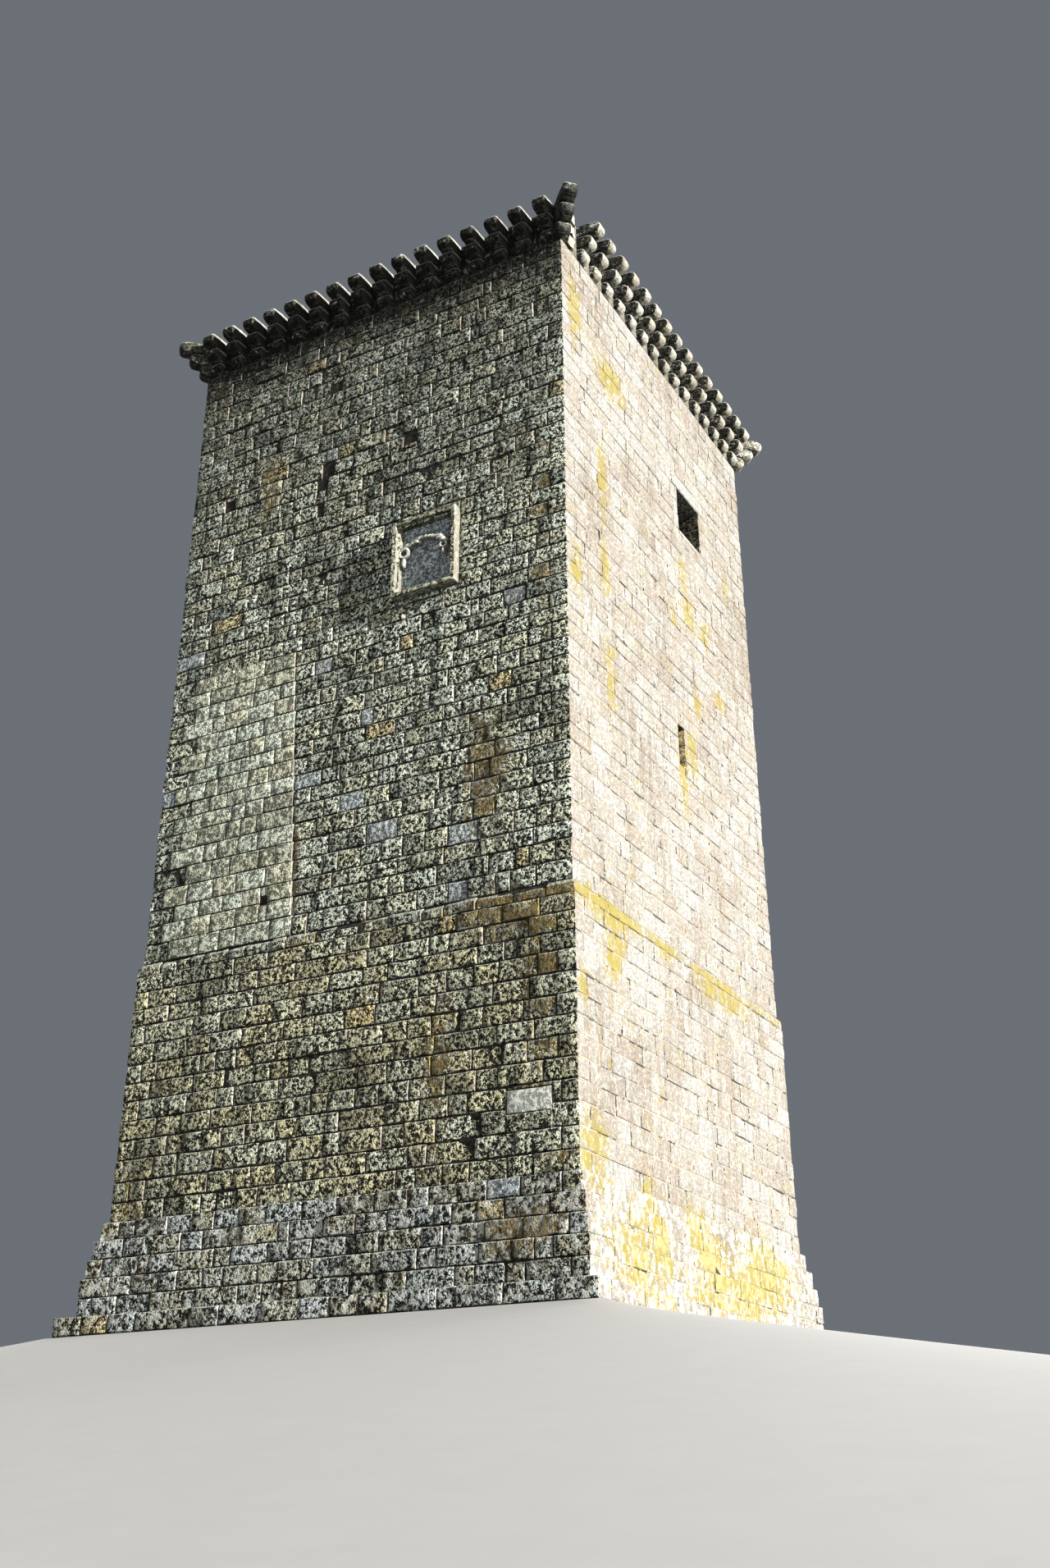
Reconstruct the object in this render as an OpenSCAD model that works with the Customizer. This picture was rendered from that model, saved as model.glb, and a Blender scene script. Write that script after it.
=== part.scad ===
// Castle keep: a square tower of coursed granite on a stepped plinth. The shaft
// sets back at a weathered offset, carries a framed stone tablet on its front,
// and ends in three oversailing tiers of round-nosed corbels.

/* [Plan] */
// Width of the front above the offset
front_w = 8500; // [7500:50:10500]
// Depth from the front to the back above the offset
side_d = 8500; // [7500:50:10500]
// Thickness of the front and back walls
end_wall_t = 2100; // [1600:50:2400]
// Thickness of the side walls in the upper storey
side_wall_t = 1700; // [1500:50:2000]
// Shelf that each floor's beams rest on, where the side walls get thinner
beam_shelf = 200; // [120:10:280]
// Shelf that the roof beams rest on behind the side wall heads
roof_shelf = 300; // [150:10:500]

/* [Plinth and base shaft] */
// Height of one plinth course
plinth_course_h = 296; // [250:1:380]
// Number of plinth courses
plinth_courses = 6; // [5:1:8]
// How far each of the two upper steps stands out
plinth_step_upper = 77; // [30:1:120]
// How far each of the two lower steps stands out
plinth_step_lower = 51; // [20:1:100]
// How far the footing course stands out
footing_out = 240; // [80:10:400]
// Height of the base shaft between the plinth and the offset course
base_h = 4176; // [3000:8:6000]

/* [Offset course] */
// Height of the offset course
offset_h = 234; // [180:2:320]
// How far the base shaft stands out from the upper shaft
offset_out = 70; // [30:5:120]
// Height of the sloping top of the offset course
offset_slope_h = 80; // [20:5:140]

/* [Upper shaft] */
// Height of the upper shaft, up to the lowest corbels
shaft_h = 13032; // [12000:4:15000]
// Height of the reface to the left of the straight joint
reface_h = 5550; // [3000:10:8000]
// Distance of the straight joint from the middle at its foot
reface_foot_x = -1060; // [-1600:10:-600]
// Distance of the straight joint from the middle at its top
reface_top_x = -1390; // [-1800:10:-700]
// Depth of the refacing stones in the wall
reface_t = 300; // [200:10:400]
// How far the refacing stands proud of the older face
reface_proud = 18; // [5:1:40]

/* [Corbels] */
// Number of corbel stacks on the front and on the back
stacks_front = 16; // [10:1:18]
// Number of corbel stacks on each side
stacks_side = 16; // [10:1:18]
// Tiers in a stack
tiers = 3; // [2:1:4]
// Height of one tier with its joint
tier_h = 277; // [220:1:340]
// Width of a corbel
corbel_w = 290; // [200:5:340]
// Thickness of the joint between tiers
corbel_joint = 8; // [4:1:14]
// How far the lowest tier stands out
lowest_out = 166; // [150:2:240]
// How much further each tier stands out than the one below
tier_out = 169; // [100:1:240]
// Length of a corbel's tail in the wall head
tail_d = 550; // [350:10:800]
// Distance of the last stack's middle from the corner
corner_gap = 246; // [220:2:400]
// Masonry left between tails that pass each other at a corner
tail_gap = 80; // [40:5:120]
// How far a corner stack stands out, as a share of a straight stack's
corner_spread = 1.42; // [1.1:0.02:1.5]
// How far the stubs of the broken stack stand out
stub_out = 70; // [40:5:120]

/* [Window] */
// Width of the window
window_w = 1100; // [800:10:1500]
// Height of the window
window_h = 1030; // [800:10:1400]
// Height of the window sill above the offset
window_up = 9324; // [9000:2:10000]
// Distance of the window from the inside of the back wall
window_in = 310; // [310:10:900]
// How much wider the window is inside, at each jamb
window_splay = 120; // [0:10:250]
// Height of the lintel stone
lintel_h = 320; // [240:10:400]
// Length of the lintel's seat on each jamb
lintel_end_w = 260; // [150:10:300]

/* [Arrow slits] */
// Width of a slit at the outer face
slit_w = 320; // [120:5:380]
// Height of a slit at the outer face
slit_h = 1010; // [800:10:1300]
// Height of a slit's foot above the offset
slit_up = 3614; // [3300:2:4300]
// Distance of the slit's middle behind the middle of the side
slit_back = 310; // [-600:10:800]
// How much wider a slit is inside, at each jamb
slit_splay = 260; // [50:10:400]
// Height that the sloping sill climbs
sill_h = 780; // [300:10:790]
// Depth over which the sloping sill climbs
sill_d = 600; // [300:10:1000]

/* [Doorway] */
// Clear width of the doorway
door_w = 1000; // [800:10:1200]
// Height of the door jambs up to the arch
jamb_h = 1500; // [1300:10:1700]
// Width of the dressed stones round the doorway
surround_w = 350; // [200:10:450]
// Height of the door sill above the offset
door_up = 2544; // [2300:2:2800]

/* [Tablet] */
// Outer width of the tablet's frame
tablet_w = 1340; // [1000:10:1600]
// Outer height of the tablet's frame
tablet_h = 1590; // [1400:5:1900]
// Distance of the tablet's middle to the right of the front's middle
tablet_x = 1440; // [1000:2:1800]
// Height of the tablet's middle above the offset
tablet_up = 6764; // [6400:2:8000]
// Width of the frame's rim
rim_w = 85; // [60:5:120]
// Width of the frame's lower inner step
rim_step_w = 45; // [20:5:60]
// How far the rim stands out from the wall
rim_out = 200; // [120:5:240]
// How far the inner step lies behind the rim
rim_step_d = 70; // [30:5:90]
// Depth of the frame in the wall
tablet_bed = 250; // [150:10:350]
// How far the slab's face stands out from the wall
slab_out = 20; // [0:2:40]
// Width of the blank shield
shield_w = 430; // [300:10:500]
// Height of the blank shield
shield_h = 560; // [400:10:620]
// Thickness of the shield
shield_t = 70; // [30:5:90]
// Radius of the round bosses beside the shield
boss_r = 95; // [60:5:110]
// Radius of the bead that makes the arch and the rings
bead_r = 26; // [15:1:32]

/* [Plaque] */
// Width of the smooth stone low on the front
plaque_w = 760; // [500:10:900]
// Height of the smooth stone
plaque_h = 350; // [250:10:450]
// Distance of its middle from the right corner of the base shaft
plaque_in = 800; // [600:10:1500]
// Height of its middle above the ground
plaque_z = 2866; // [2500:2:3500]
// Depth of the smooth stone in the wall
plaque_t = 250; // [150:10:350]

/* [Floors and roof] */
// Thickness of the floor boards
board_t = 50; // [30:5:80]
// Height of a floor beam
beam_h = 250; // [180:10:320]
// Width of a beam
beam_w = 200; // [140:10:260]
// Beams in each floor
beams = 8; // [5:1:10]
// Height of a roof beam
roof_beam_h = 300; // [220:10:360]
// Thickness of the paving on the roof
paving_t = 180; // [120:10:240]
// Height of the window sill above the upper floor
sill_over_floor = 1000; // [700:10:1200]

/* [Hidden] */
$fn = 48;
eps = 1;
half_w = front_w / 2;
half_d = side_d / 2;
end_in = half_d - end_wall_t;
stone = "#a59b82";
weathered = "#8d8672";
pale = "#cfc5ab";
oak = "#6b5138";

// Levels, from the ground up
plinth_top = plinth_courses * plinth_course_h;
base_top = plinth_top + base_h;
shaft_foot = base_top + offset_h;
shaft_top = shaft_foot + shaft_h;
head_h = tiers * tier_h;
door_z = shaft_foot + door_up;
spring_z = door_z + jamb_h;
arch_top = spring_z + door_w / 2 + surround_w;
plaque_x = half_w + offset_out - plaque_in;
slit_z = shaft_foot + slit_up;
slit_top = slit_z + slit_h;
window_z = shaft_foot + window_up;
window_top = window_z + window_h;
window_back = end_in - window_in - window_w / 2;
tablet_z = shaft_foot + tablet_up;
entrance_shelf_z = door_z - board_t - beam_h;
upper_shelf_z = window_z - sill_over_floor - board_t - beam_h;

// Thickness of the side walls at each storey
upper_t = side_wall_t;
entrance_t = side_wall_t + beam_shelf;
cellar_t = entrance_t + beam_shelf;
head_t = side_wall_t - roof_shelf;

// How far the plinth course j stands out, counted down from the top one
function plinth_out(j) = offset_out
    + min(j + 1, 2) * plinth_step_upper
    + max(0, min(j - 1, 2)) * plinth_step_lower
    + (j == plinth_courses - 1 ? footing_out : 0);

// Corbels: at a corner the tails from the front and the back run past the tails
// from the sides, and the last side stack stops short of them
block_h = tier_h - corbel_joint;
nose_r = block_h / 2;
corner_root = corner_gap - corbel_w / 2;
function pitch(n, half) = (2 * half - 2 * corner_gap) / (n - 1);
function free_tail(n, half) = min(tail_d, corner_root + pitch(n, half) - tail_gap);
front_tail = free_tail(stacks_side, half_d);
side_tail = free_tail(stacks_front, half_w);
function reach(k) = lowest_out + k * tier_out;
function stack_x(i, n, half) = -half + corner_gap + i * pitch(n, half);

// Shared forms

module block(x, y, z) {
    translate([x[0], y[0], z[0]])
        cube([x[1] - x[0], y[1] - y[0], z[1] - z[0]]);
}

// Puts a face's own frame in place: x along the face, y into the wall
module on_face(turn, distance) {
    rotate([0, 0, turn]) translate([0, -distance, 0]) children();
}

// Extrudes a profile of depth and height along x
module run_along_x(from, to) {
    translate([from, 0, 0]) rotate([90, 0, 90]) linear_extrude(to - from) children();
}

// Extrudes a front view of x and height into the wall
module into_wall(from, to) {
    translate([0, to, 0]) rotate([90, 0, 0]) linear_extrude(to - from) children();
}

// Plinth, base shaft and offset course

module end_plinth(turn) {
    rotate([0, 0, turn])
        for (j = [0 : plinth_courses - 1]) {
            out = plinth_out(j);
            z = plinth_top - (j + 1) * plinth_course_h;
            block([-half_w - out, half_w + out], [-half_d - out, -end_in],
                  [z, z + plinth_course_h]);
        }
}

module side_plinth(turn) {
    rotate([0, 0, turn])
        for (j = [0 : plinth_courses - 1]) {
            z = plinth_top - (j + 1) * plinth_course_h;
            block([-end_in, end_in], [-half_w - plinth_out(j), -half_w + cellar_t],
                  [z, z + plinth_course_h]);
        }
}

module end_base_wall(turn) {
    rotate([0, 0, turn])
        block([-half_w - offset_out, half_w + offset_out],
              [-half_d - offset_out, -end_in], [plinth_top, base_top]);
}

module side_base_wall(turn) {
    rotate([0, 0, turn])
        block([-end_in, end_in], [-half_w - offset_out, -half_w + cellar_t],
              [plinth_top, base_top]);
}

// The sloping top returns round the corner, so the ends are cut back too
module end_offset(turn) {
    flat_h = offset_h - offset_slope_h;
    rotate([0, 0, turn])
        translate([0, 0, base_top])
            intersection() {
                run_along_x(-half_w - offset_out, half_w + offset_out)
                    polygon([
                        [-end_in, 0], [-half_d - offset_out, 0],
                        [-half_d - offset_out, flat_h], [-half_d, offset_h],
                        [-end_in, offset_h]
                    ]);
                into_wall(-half_d - offset_out, -end_in)
                    polygon([
                        [-half_w - offset_out, 0], [half_w + offset_out, 0],
                        [half_w + offset_out, flat_h], [half_w, offset_h],
                        [-half_w, offset_h], [-half_w - offset_out, flat_h]
                    ]);
            }
}

module side_offset(turn) {
    flat_h = offset_h - offset_slope_h;
    rotate([0, 0, turn])
        translate([0, 0, base_top])
            run_along_x(-end_in, end_in)
                polygon([
                    [-half_w + cellar_t, 0], [-half_w - offset_out, 0],
                    [-half_w - offset_out, flat_h], [-half_w, offset_h],
                    [-half_w + cellar_t, offset_h]
                ]);
}

module plinth_front() { color(weathered) end_plinth(0); }
module plinth_right() { color(weathered) side_plinth(90); }
module plinth_back() { color(weathered) end_plinth(180); }
module plinth_left() { color(weathered) side_plinth(270); }

module base_wall_front() {
    color(stone) difference() {
        end_base_wall(0);
        plaque_body();
    }
}
module base_wall_right() { color(stone) side_base_wall(90); }
module base_wall_back() { color(stone) end_base_wall(180); }
module base_wall_left() { color(stone) side_base_wall(270); }

module offset_front() { color(weathered) end_offset(0); }
module offset_right() { color(weathered) side_offset(90); }
module offset_back() { color(weathered) end_offset(180); }
module offset_left() { color(weathered) side_offset(270); }

// Front wall, with the beds of the tablet and of the refacing cut in

module reface_outline() {
    polygon([
        [-half_w, shaft_foot], [reface_foot_x, shaft_foot],
        [reface_top_x, shaft_foot + reface_h], [-half_w, shaft_foot + reface_h]
    ]);
}

module tablet_bed_body() {
    block([tablet_x - tablet_w / 2, tablet_x + tablet_w / 2],
          [-half_d - eps, -half_d + tablet_bed],
          [tablet_z - tablet_h / 2, tablet_z + tablet_h / 2]);
}

module front_wall() {
    color(stone) difference() {
        block([-half_w, half_w], [-half_d, -end_in], [shaft_foot, shaft_top]);
        tablet_bed_body();
        into_wall(-half_d - eps, -half_d + reface_t) reface_outline();
    }
}

module front_refacing() {
    color(pale) into_wall(-half_d - reface_proud, -half_d + reface_t) reface_outline();
}

// Side walls: each profile gets thinner at a shelf that carries floor beams

module side_wall(turn, z0, z1) {
    rotate([0, 0, turn])
        difference() {
            block([-end_in, end_in], [-half_w, -half_w + cellar_t], [z0, z1]);
            storey_cut(entrance_shelf_z, entrance_t, z1);
            storey_cut(upper_shelf_z, upper_t, z1);
        }
}

module storey_cut(shelf_z, wall_t, top) {
    block([-end_in - eps, end_in + eps], [-half_w + wall_t, -half_w + cellar_t + eps],
          [shelf_z, max(top, shelf_z) + eps]);
}

// Plan of an opening that widens inwards
module splayed_plan(x, width, wall_t, splay) {
    polygon([
        [x - width / 2, -half_w - eps], [x + width / 2, -half_w - eps],
        [x + width / 2, -half_w], [x + width / 2 + splay, -half_w + wall_t],
        [x + width / 2 + splay, -half_w + wall_t + eps],
        [x - width / 2 - splay, -half_w + wall_t + eps],
        [x - width / 2 - splay, -half_w + wall_t], [x - width / 2, -half_w]
    ]);
}

module slit_plan(x) { splayed_plan(x, slit_w, entrance_t, slit_splay); }

module slit_piers(turn, x) {
    rotate([0, 0, turn])
        translate([0, 0, slit_z])
            linear_extrude(slit_h)
                difference() {
                    translate([-end_in, -half_w]) square([2 * end_in, entrance_t]);
                    slit_plan(x);
                }
}

// Sill that plunges steeply outwards, as wide as the splayed slit
module slit_sill(turn, x) {
    rotate([0, 0, turn])
        translate([0, 0, slit_z])
            intersection() {
                linear_extrude(sill_h) slit_plan(x);
                run_along_x(-end_in, end_in)
                    polygon([
                        [-half_w, 0], [-half_w + entrance_t, 0],
                        [-half_w + entrance_t, sill_h], [-half_w + sill_d, sill_h]
                    ]);
            }
}

module lintel_body() {
    rotate([0, 0, 90])
        block([window_back - window_w / 2 - lintel_end_w,
               window_back + window_w / 2 + lintel_end_w],
              [-half_w, -half_w + upper_t], [window_top, window_top + lintel_h]);
}

module right_wall_lower() { color(stone) side_wall(90, shaft_foot, slit_z); }
module right_slit_piers() { color(stone) slit_piers(90, slit_back); }
module right_wall_middle() { color(stone) side_wall(90, slit_top, window_z); }

module right_window_piers() {
    color(stone)
        rotate([0, 0, 90])
            translate([0, 0, window_z])
                linear_extrude(window_h)
                    difference() {
                        translate([-end_in, -half_w]) square([2 * end_in, upper_t]);
                        splayed_plan(window_back, window_w, upper_t, window_splay);
                    }
}

module window_lintel() { color(pale) lintel_body(); }

module right_wall_upper() {
    color(stone) difference() {
        side_wall(90, window_top, shaft_top);
        lintel_body();
    }
}

module left_wall_lower() { color(stone) side_wall(270, shaft_foot, slit_z); }
module left_slit_piers() { color(stone) slit_piers(270, -slit_back); }
module left_wall_upper() { color(stone) side_wall(270, slit_top, shaft_top); }

module slit_sills() {
    color(pale) {
        slit_sill(90, slit_back);
        slit_sill(270, -slit_back);
    }
}

// Back wall and the raised doorway

module back_wall_lower() {
    color(stone) block([-half_w, half_w], [end_in, half_d], [shaft_foot, door_z]);
}

module back_door_piers() {
    color(stone)
        for (side = [-1, 1])
            scale([side, 1, 1])
                block([door_w / 2 + surround_w, half_w], [end_in, half_d], [door_z, arch_top]);
}

module back_wall_upper() {
    color(stone) block([-half_w, half_w], [end_in, half_d], [arch_top, shaft_top]);
}

module door_jambs() {
    color(pale)
        for (side = [-1, 1])
            scale([side, 1, 1])
                block([door_w / 2, door_w / 2 + surround_w], [end_in, half_d],
                      [door_z, spring_z]);
}

module door_arch() {
    color(pale) difference() {
        block([-door_w / 2 - surround_w, door_w / 2 + surround_w], [end_in, half_d],
              [spring_z, arch_top]);
        translate([0, end_in - eps, spring_z]) rotate([-90, 0, 0])
            cylinder(r = door_w / 2, h = end_wall_t + 2 * eps);
    }
}

// Wall heads: in plan, each stack of corbels has its slot

module corbel_slot(length) {
    translate([-corbel_w / 2, -eps]) square([corbel_w, length + eps]);
}

module face_slots(turn, distance, half, n, tail, end_tail) {
    on_face(turn, distance)
        for (i = [0 : n - 1])
            translate([stack_x(i, n, half), 0])
                corbel_slot(i == 0 || i == n - 1 ? end_tail : tail);
}

module all_slots() {
    for (turn = [0, 180])
        face_slots(turn, half_d, half_w, stacks_front, front_tail, front_tail);
    for (turn = [90, 270])
        face_slots(turn, half_w, half_d, stacks_side, side_tail, corner_root + eps);
    for (c = corners)
        translate([c[0] * half_w, c[1] * half_d]) scale([c[0], c[1]])
            translate([-corner_root - eps, -corner_root - eps])
                square([corner_root + 2 * eps, corner_root + 2 * eps]);
}

// Corners as x side, y side and the turn that faces outwards
front_corners = [[1, -1, 45], [-1, -1, 315]];
back_corners = [[1, 1, 135], [-1, 1, 225]];
corners = concat(front_corners, back_corners);

module wall_head(x, y) {
    translate([0, 0, shaft_top])
        linear_extrude(head_h)
            difference() {
                translate([x[0], y[0]]) square([x[1] - x[0], y[1] - y[0]]);
                all_slots();
            }
}

module wall_head_front() { color(weathered) wall_head([-half_w, half_w], [-half_d, -end_in]); }
module wall_head_back() { color(weathered) wall_head([-half_w, half_w], [end_in, half_d]); }
module wall_head_right() {
    color(weathered) wall_head([half_w - head_t, half_w], [-end_in, end_in]);
}
module wall_head_left() {
    color(weathered) wall_head([-half_w, head_t - half_w], [-end_in, end_in]);
}

// Corbels: side profile with a full round nose, drawn out to the corbel's width

module corbel_profile(out, length) {
    translate([nose_r - out, 0]) square([out - nose_r + length, block_h]);
    translate([nose_r - out, nose_r]) circle(nose_r);
}

// What is left of a corbel that broke off near the wall
module stub_profile(out, length) {
    polygon([
        [-out, 0], [-out * 1.4, block_h * 0.35], [-out * 0.7, block_h * 0.6],
        [-out * 0.9, block_h], [length, block_h], [length, 0]
    ]);
}

module stack(spread, length, broken = false) {
    for (k = [0 : tiers - 1])
        translate([0, 0, shaft_top + k * tier_h])
            run_along_x(-corbel_w / 2, corbel_w / 2)
                if (broken) stub_profile(stub_out * (1 + k * 0.3), length);
                else corbel_profile(reach(k) * spread, length);
}

module face_corbels(turn, distance, half, n, tail, end_tail, broken_stack = -1) {
    on_face(turn, distance)
        for (i = [0 : n - 1])
            translate([stack_x(i, n, half), 0, 0])
                stack(1, i == 0 || i == n - 1 ? end_tail : tail, i == broken_stack);
}

// The root of a corner stack fills the corner between the last stacks of both faces
module corner_corbels(list) {
    far = reach(tiers) * corner_spread;
    for (c = list)
        translate([c[0] * half_w, c[1] * half_d, 0])
            intersection() {
                rotate([0, 0, c[2]]) stack(corner_spread, corner_root * 2);
                scale([c[0], c[1], 1])
                    block([corbel_joint - corner_root, far], [-corner_root, far],
                          [shaft_top, shaft_top + head_h]);
            }
}

module end_corbels(turn, list) {
    color(weathered) {
        face_corbels(turn, half_d, half_w, stacks_front, front_tail, front_tail);
        corner_corbels(list);
    }
}

module side_corbels(turn, broken_stack = -1) {
    color(weathered)
        face_corbels(turn, half_w, half_d, stacks_side, side_tail,
                     corner_root - corbel_joint, broken_stack);
}

module front_corbels() { end_corbels(0, front_corners); }
module right_corbels() { side_corbels(90, broken_stack = 0); }
module back_corbels() { end_corbels(180, back_corners); }
module left_corbels() { side_corbels(270); }

// Framed tablet

module tablet_place() { translate([tablet_x, -half_d, tablet_z]) children(); }

module centred_ring(outer_w, outer_h, wall) {
    difference() {
        square([outer_w, outer_h], center = true);
        square([outer_w - 2 * wall, outer_h - 2 * wall], center = true);
    }
}

module tablet_frame() {
    color(pale) tablet_place() {
        into_wall(-rim_out, tablet_bed) centred_ring(tablet_w, tablet_h, rim_w);
        into_wall(rim_step_d - rim_out, tablet_bed)
            centred_ring(tablet_w - 2 * rim_w, tablet_h - 2 * rim_w, rim_step_w);
    }
}

module tablet_slab() {
    inner = 2 * (rim_w + rim_step_w);
    color(stone) tablet_place()
        into_wall(-slab_out, tablet_bed)
            square([tablet_w - inner, tablet_h - inner], center = true);
}

// Heater shield: straight sides, then two arcs that meet at the point
module shield_outline(w, h) {
    straight = h * 0.42;
    curved = h - straight;
    arc_r = (w * w / 4 + curved * curved) / w;
    translate([-w / 2, h / 2 - straight]) square([w, straight]);
    translate([0, h / 2 - straight])
        intersection() {
            translate([w / 2 - arc_r, 0]) circle(arc_r, $fn = 96);
            translate([arc_r - w / 2, 0]) circle(arc_r, $fn = 96);
            translate([-w / 2, -curved]) square([w, curved]);
        }
}

// Half of a bead ring standing on the slab, seen from the front
module half_bead(radius, angle) {
    rotate([90, 0, 0]) rotate_extrude(angle = angle)
        translate([radius, 0]) intersection() {
            circle(bead_r);
            translate([-bead_r, 0]) square([2 * bead_r, bead_r]);
        }
}

module boss() {
    intersection() {
        sphere(boss_r);
        translate([-boss_r, -boss_r, -boss_r]) cube([2 * boss_r, boss_r, 2 * boss_r]);
    }
    half_bead(boss_r + bead_r * 0.6, 360);
}

module tablet_relief() {
    boss_x = shield_w / 2 + boss_r + 2 * bead_r;
    rim = shield_w * 0.07;
    color(weathered) tablet_place() translate([0, -slab_out, 0]) {
        translate([0, 0, -shield_h * 0.12]) {
            into_wall(-shield_t * 0.7, 0) shield_outline(shield_w, shield_h);
            into_wall(-shield_t, 0)
                difference() {
                    shield_outline(shield_w, shield_h);
                    shield_outline(shield_w - 2 * rim, shield_h - 2.6 * rim);
                }
        }
        translate([0, 0, shield_h * 0.45]) half_bead(shield_w * 0.62, 180);
        for (side = [-1, 1])
            translate([side * boss_x, 0, shield_h * 0.1]) boss();
    }
}

// Smooth blank stone, flush with the base shaft

module plaque_body() {
    block([plaque_x - plaque_w / 2, plaque_x + plaque_w / 2],
          [-half_d - offset_out, -half_d - offset_out + plaque_t],
          [plaque_z - plaque_h / 2, plaque_z + plaque_h / 2]);
}

module plaque_stone() { color(pale) plaque_body(); }

// Floors: beams across the width on the shelves, boards on the beams

module beam_row(shelf_z, half_span, height) {
    for (i = [0 : beams - 1]) {
        y = -end_in + beam_w + i * (2 * end_in - 2 * beam_w) / (beams - 1);
        block([-half_span, half_span], [y - beam_w / 2, y + beam_w / 2],
              [shelf_z, shelf_z + height]);
    }
}

module floor_beams() {
    color(oak) {
        beam_row(entrance_shelf_z, half_w - entrance_t, beam_h);
        beam_row(upper_shelf_z, half_w - upper_t, beam_h);
        beam_row(shaft_top, half_w - head_t, roof_beam_h);
    }
}

module deck(z, half_span, thickness) {
    block([-half_span, half_span], [-end_in, end_in], [z, z + thickness]);
}

module entrance_floor() {
    color(oak) deck(entrance_shelf_z + beam_h, half_w - entrance_t, board_t);
}
module upper_floor() { color(oak) deck(upper_shelf_z + beam_h, half_w - upper_t, board_t); }
module roof_paving() { color(stone) deck(shaft_top + roof_beam_h, half_w - head_t, paving_t); }

plinth_front();
plinth_right();
plinth_back();
plinth_left();
base_wall_front();
base_wall_right();
base_wall_back();
base_wall_left();
offset_front();
offset_right();
offset_back();
offset_left();
front_wall();
front_refacing();
right_wall_lower();
right_slit_piers();
right_wall_middle();
right_window_piers();
window_lintel();
right_wall_upper();
left_wall_lower();
left_slit_piers();
left_wall_upper();
slit_sills();
back_wall_lower();
back_door_piers();
back_wall_upper();
door_jambs();
door_arch();
wall_head_front();
wall_head_right();
wall_head_back();
wall_head_left();
front_corbels();
right_corbels();
back_corbels();
left_corbels();
tablet_frame();
tablet_slab();
tablet_relief();
plaque_stone();
floor_beams();
entrance_floor();
upper_floor();
roof_paving();
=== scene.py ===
"""Castle keep: granite laid stone by stone round the solid walls, with corbels, openings and floors."""

import math
import random
from itertools import pairwise

import bpy
import numpy as np
from mathutils import Euler, Matrix, Vector


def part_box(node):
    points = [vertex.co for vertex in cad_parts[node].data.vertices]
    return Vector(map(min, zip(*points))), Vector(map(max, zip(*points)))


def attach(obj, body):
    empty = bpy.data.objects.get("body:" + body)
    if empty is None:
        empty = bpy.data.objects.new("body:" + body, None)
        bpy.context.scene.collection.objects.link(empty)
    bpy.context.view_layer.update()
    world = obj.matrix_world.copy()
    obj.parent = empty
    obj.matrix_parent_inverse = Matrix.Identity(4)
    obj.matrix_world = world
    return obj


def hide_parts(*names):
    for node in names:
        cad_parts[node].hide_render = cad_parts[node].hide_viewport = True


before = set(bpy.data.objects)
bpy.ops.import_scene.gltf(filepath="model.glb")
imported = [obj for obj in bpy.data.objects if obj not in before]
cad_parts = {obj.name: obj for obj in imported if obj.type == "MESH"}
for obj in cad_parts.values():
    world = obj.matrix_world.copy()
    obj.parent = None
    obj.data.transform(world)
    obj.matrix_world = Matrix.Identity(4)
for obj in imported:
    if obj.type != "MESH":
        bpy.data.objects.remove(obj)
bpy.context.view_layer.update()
scene = bpy.context.scene

# Driving values, in metres
COURSE = 0.32
PLINTH_COURSES = 6
JOINT = 0.014
STONE_BACK = 0.10
FOOTING_BACK = 0.27
LEDGE_LIFT = 0.012
REFACE_PROUD = 0.036
STACKS = 16
CORNER_GAP = 0.246
CORBEL_W = 0.29
TIER_H = 0.277
TIER_JOINT = 0.008
TIER_OUT = (0.166, 0.335, 0.504)
TAIL = 0.55
CORNER_SPREAD = 1.42

# Mean lengths of the stones, and the width of the flags
MEAN_STONE = 0.47
LONG_STONE = 0.54
REFACE_STONE = 0.52
OFFSET_STONE = 0.52
STRIP_STONE = 0.6
REVEAL_STONE = 0.5
FLAG_LENGTH, FLAG_WIDTH = 0.75, 0.52

# One generator draws for every stone, in the order of laying
SEED = 11
rng = random.Random(SEED)


# The damp front and left are also the shaded sides, and the dry right and back the lit ones
def by_side(damp_and_shaded, dry_and_lit):
    return {"front": damp_and_shaded, "right": dry_and_lit, "back": dry_and_lit, "left": damp_and_shaded}


# How far stones stand out on each side, how much that varies, and how wide their joints are
PROUD = by_side(0.024, 0.011)
SPREAD = by_side(0.015, 0.006)
JOINTS = by_side((0.012, 0.024), (0.003, 0.026))

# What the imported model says
SHAFT_LO, SHAFT_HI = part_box("front_wall")
BASE_LO, BASE_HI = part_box("base_wall_front")
HALF = SHAFT_HI.x
BASE_HALF = BASE_HI.x
PLINTH_TOP = BASE_LO.z
BASE_TOP = BASE_HI.z
SHAFT_FOOT = SHAFT_LO.z
SHAFT_TOP = SHAFT_HI.z
CROWN_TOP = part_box("wall_head_front")[1].z

# Worked out from these
CORNER_ROOT = CORNER_GAP - CORBEL_W / 2
CORBEL_H = TIER_H - TIER_JOINT
PITCH = (2 * HALF - 2 * CORNER_GAP) / (STACKS - 1)

# Faces in the order of their turn about the upright axis. Local x runs along a face
# and local y into the wall, and the +x end of each face meets the -x end of the next.
FACES = ("front", "right", "back", "left")

# Places


def shift(x, y, z):
    return Matrix.Translation((x, y, z))


def sized(x, y, z):
    return Matrix.Diagonal((x, y, z, 1))


def turned(axis, angle):
    return Matrix.Rotation(angle, 4, axis)


def quarter_turns(k):
    return turned("Z", math.radians(90 * k))


def face_matrix(k, distance):
    return quarter_turns(k) @ shift(0, -distance, 0)


def even_lines(low, high, count):
    return [low + (high - low) * i / count for i in range(count + 1)]


def stack_x(i):
    """The middle of a stack of corbels along its face."""
    return -HALF + CORNER_GAP + i * PITCH


def tier_z(t):
    return SHAFT_TOP + t * TIER_H


# Modelling helpers


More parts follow.
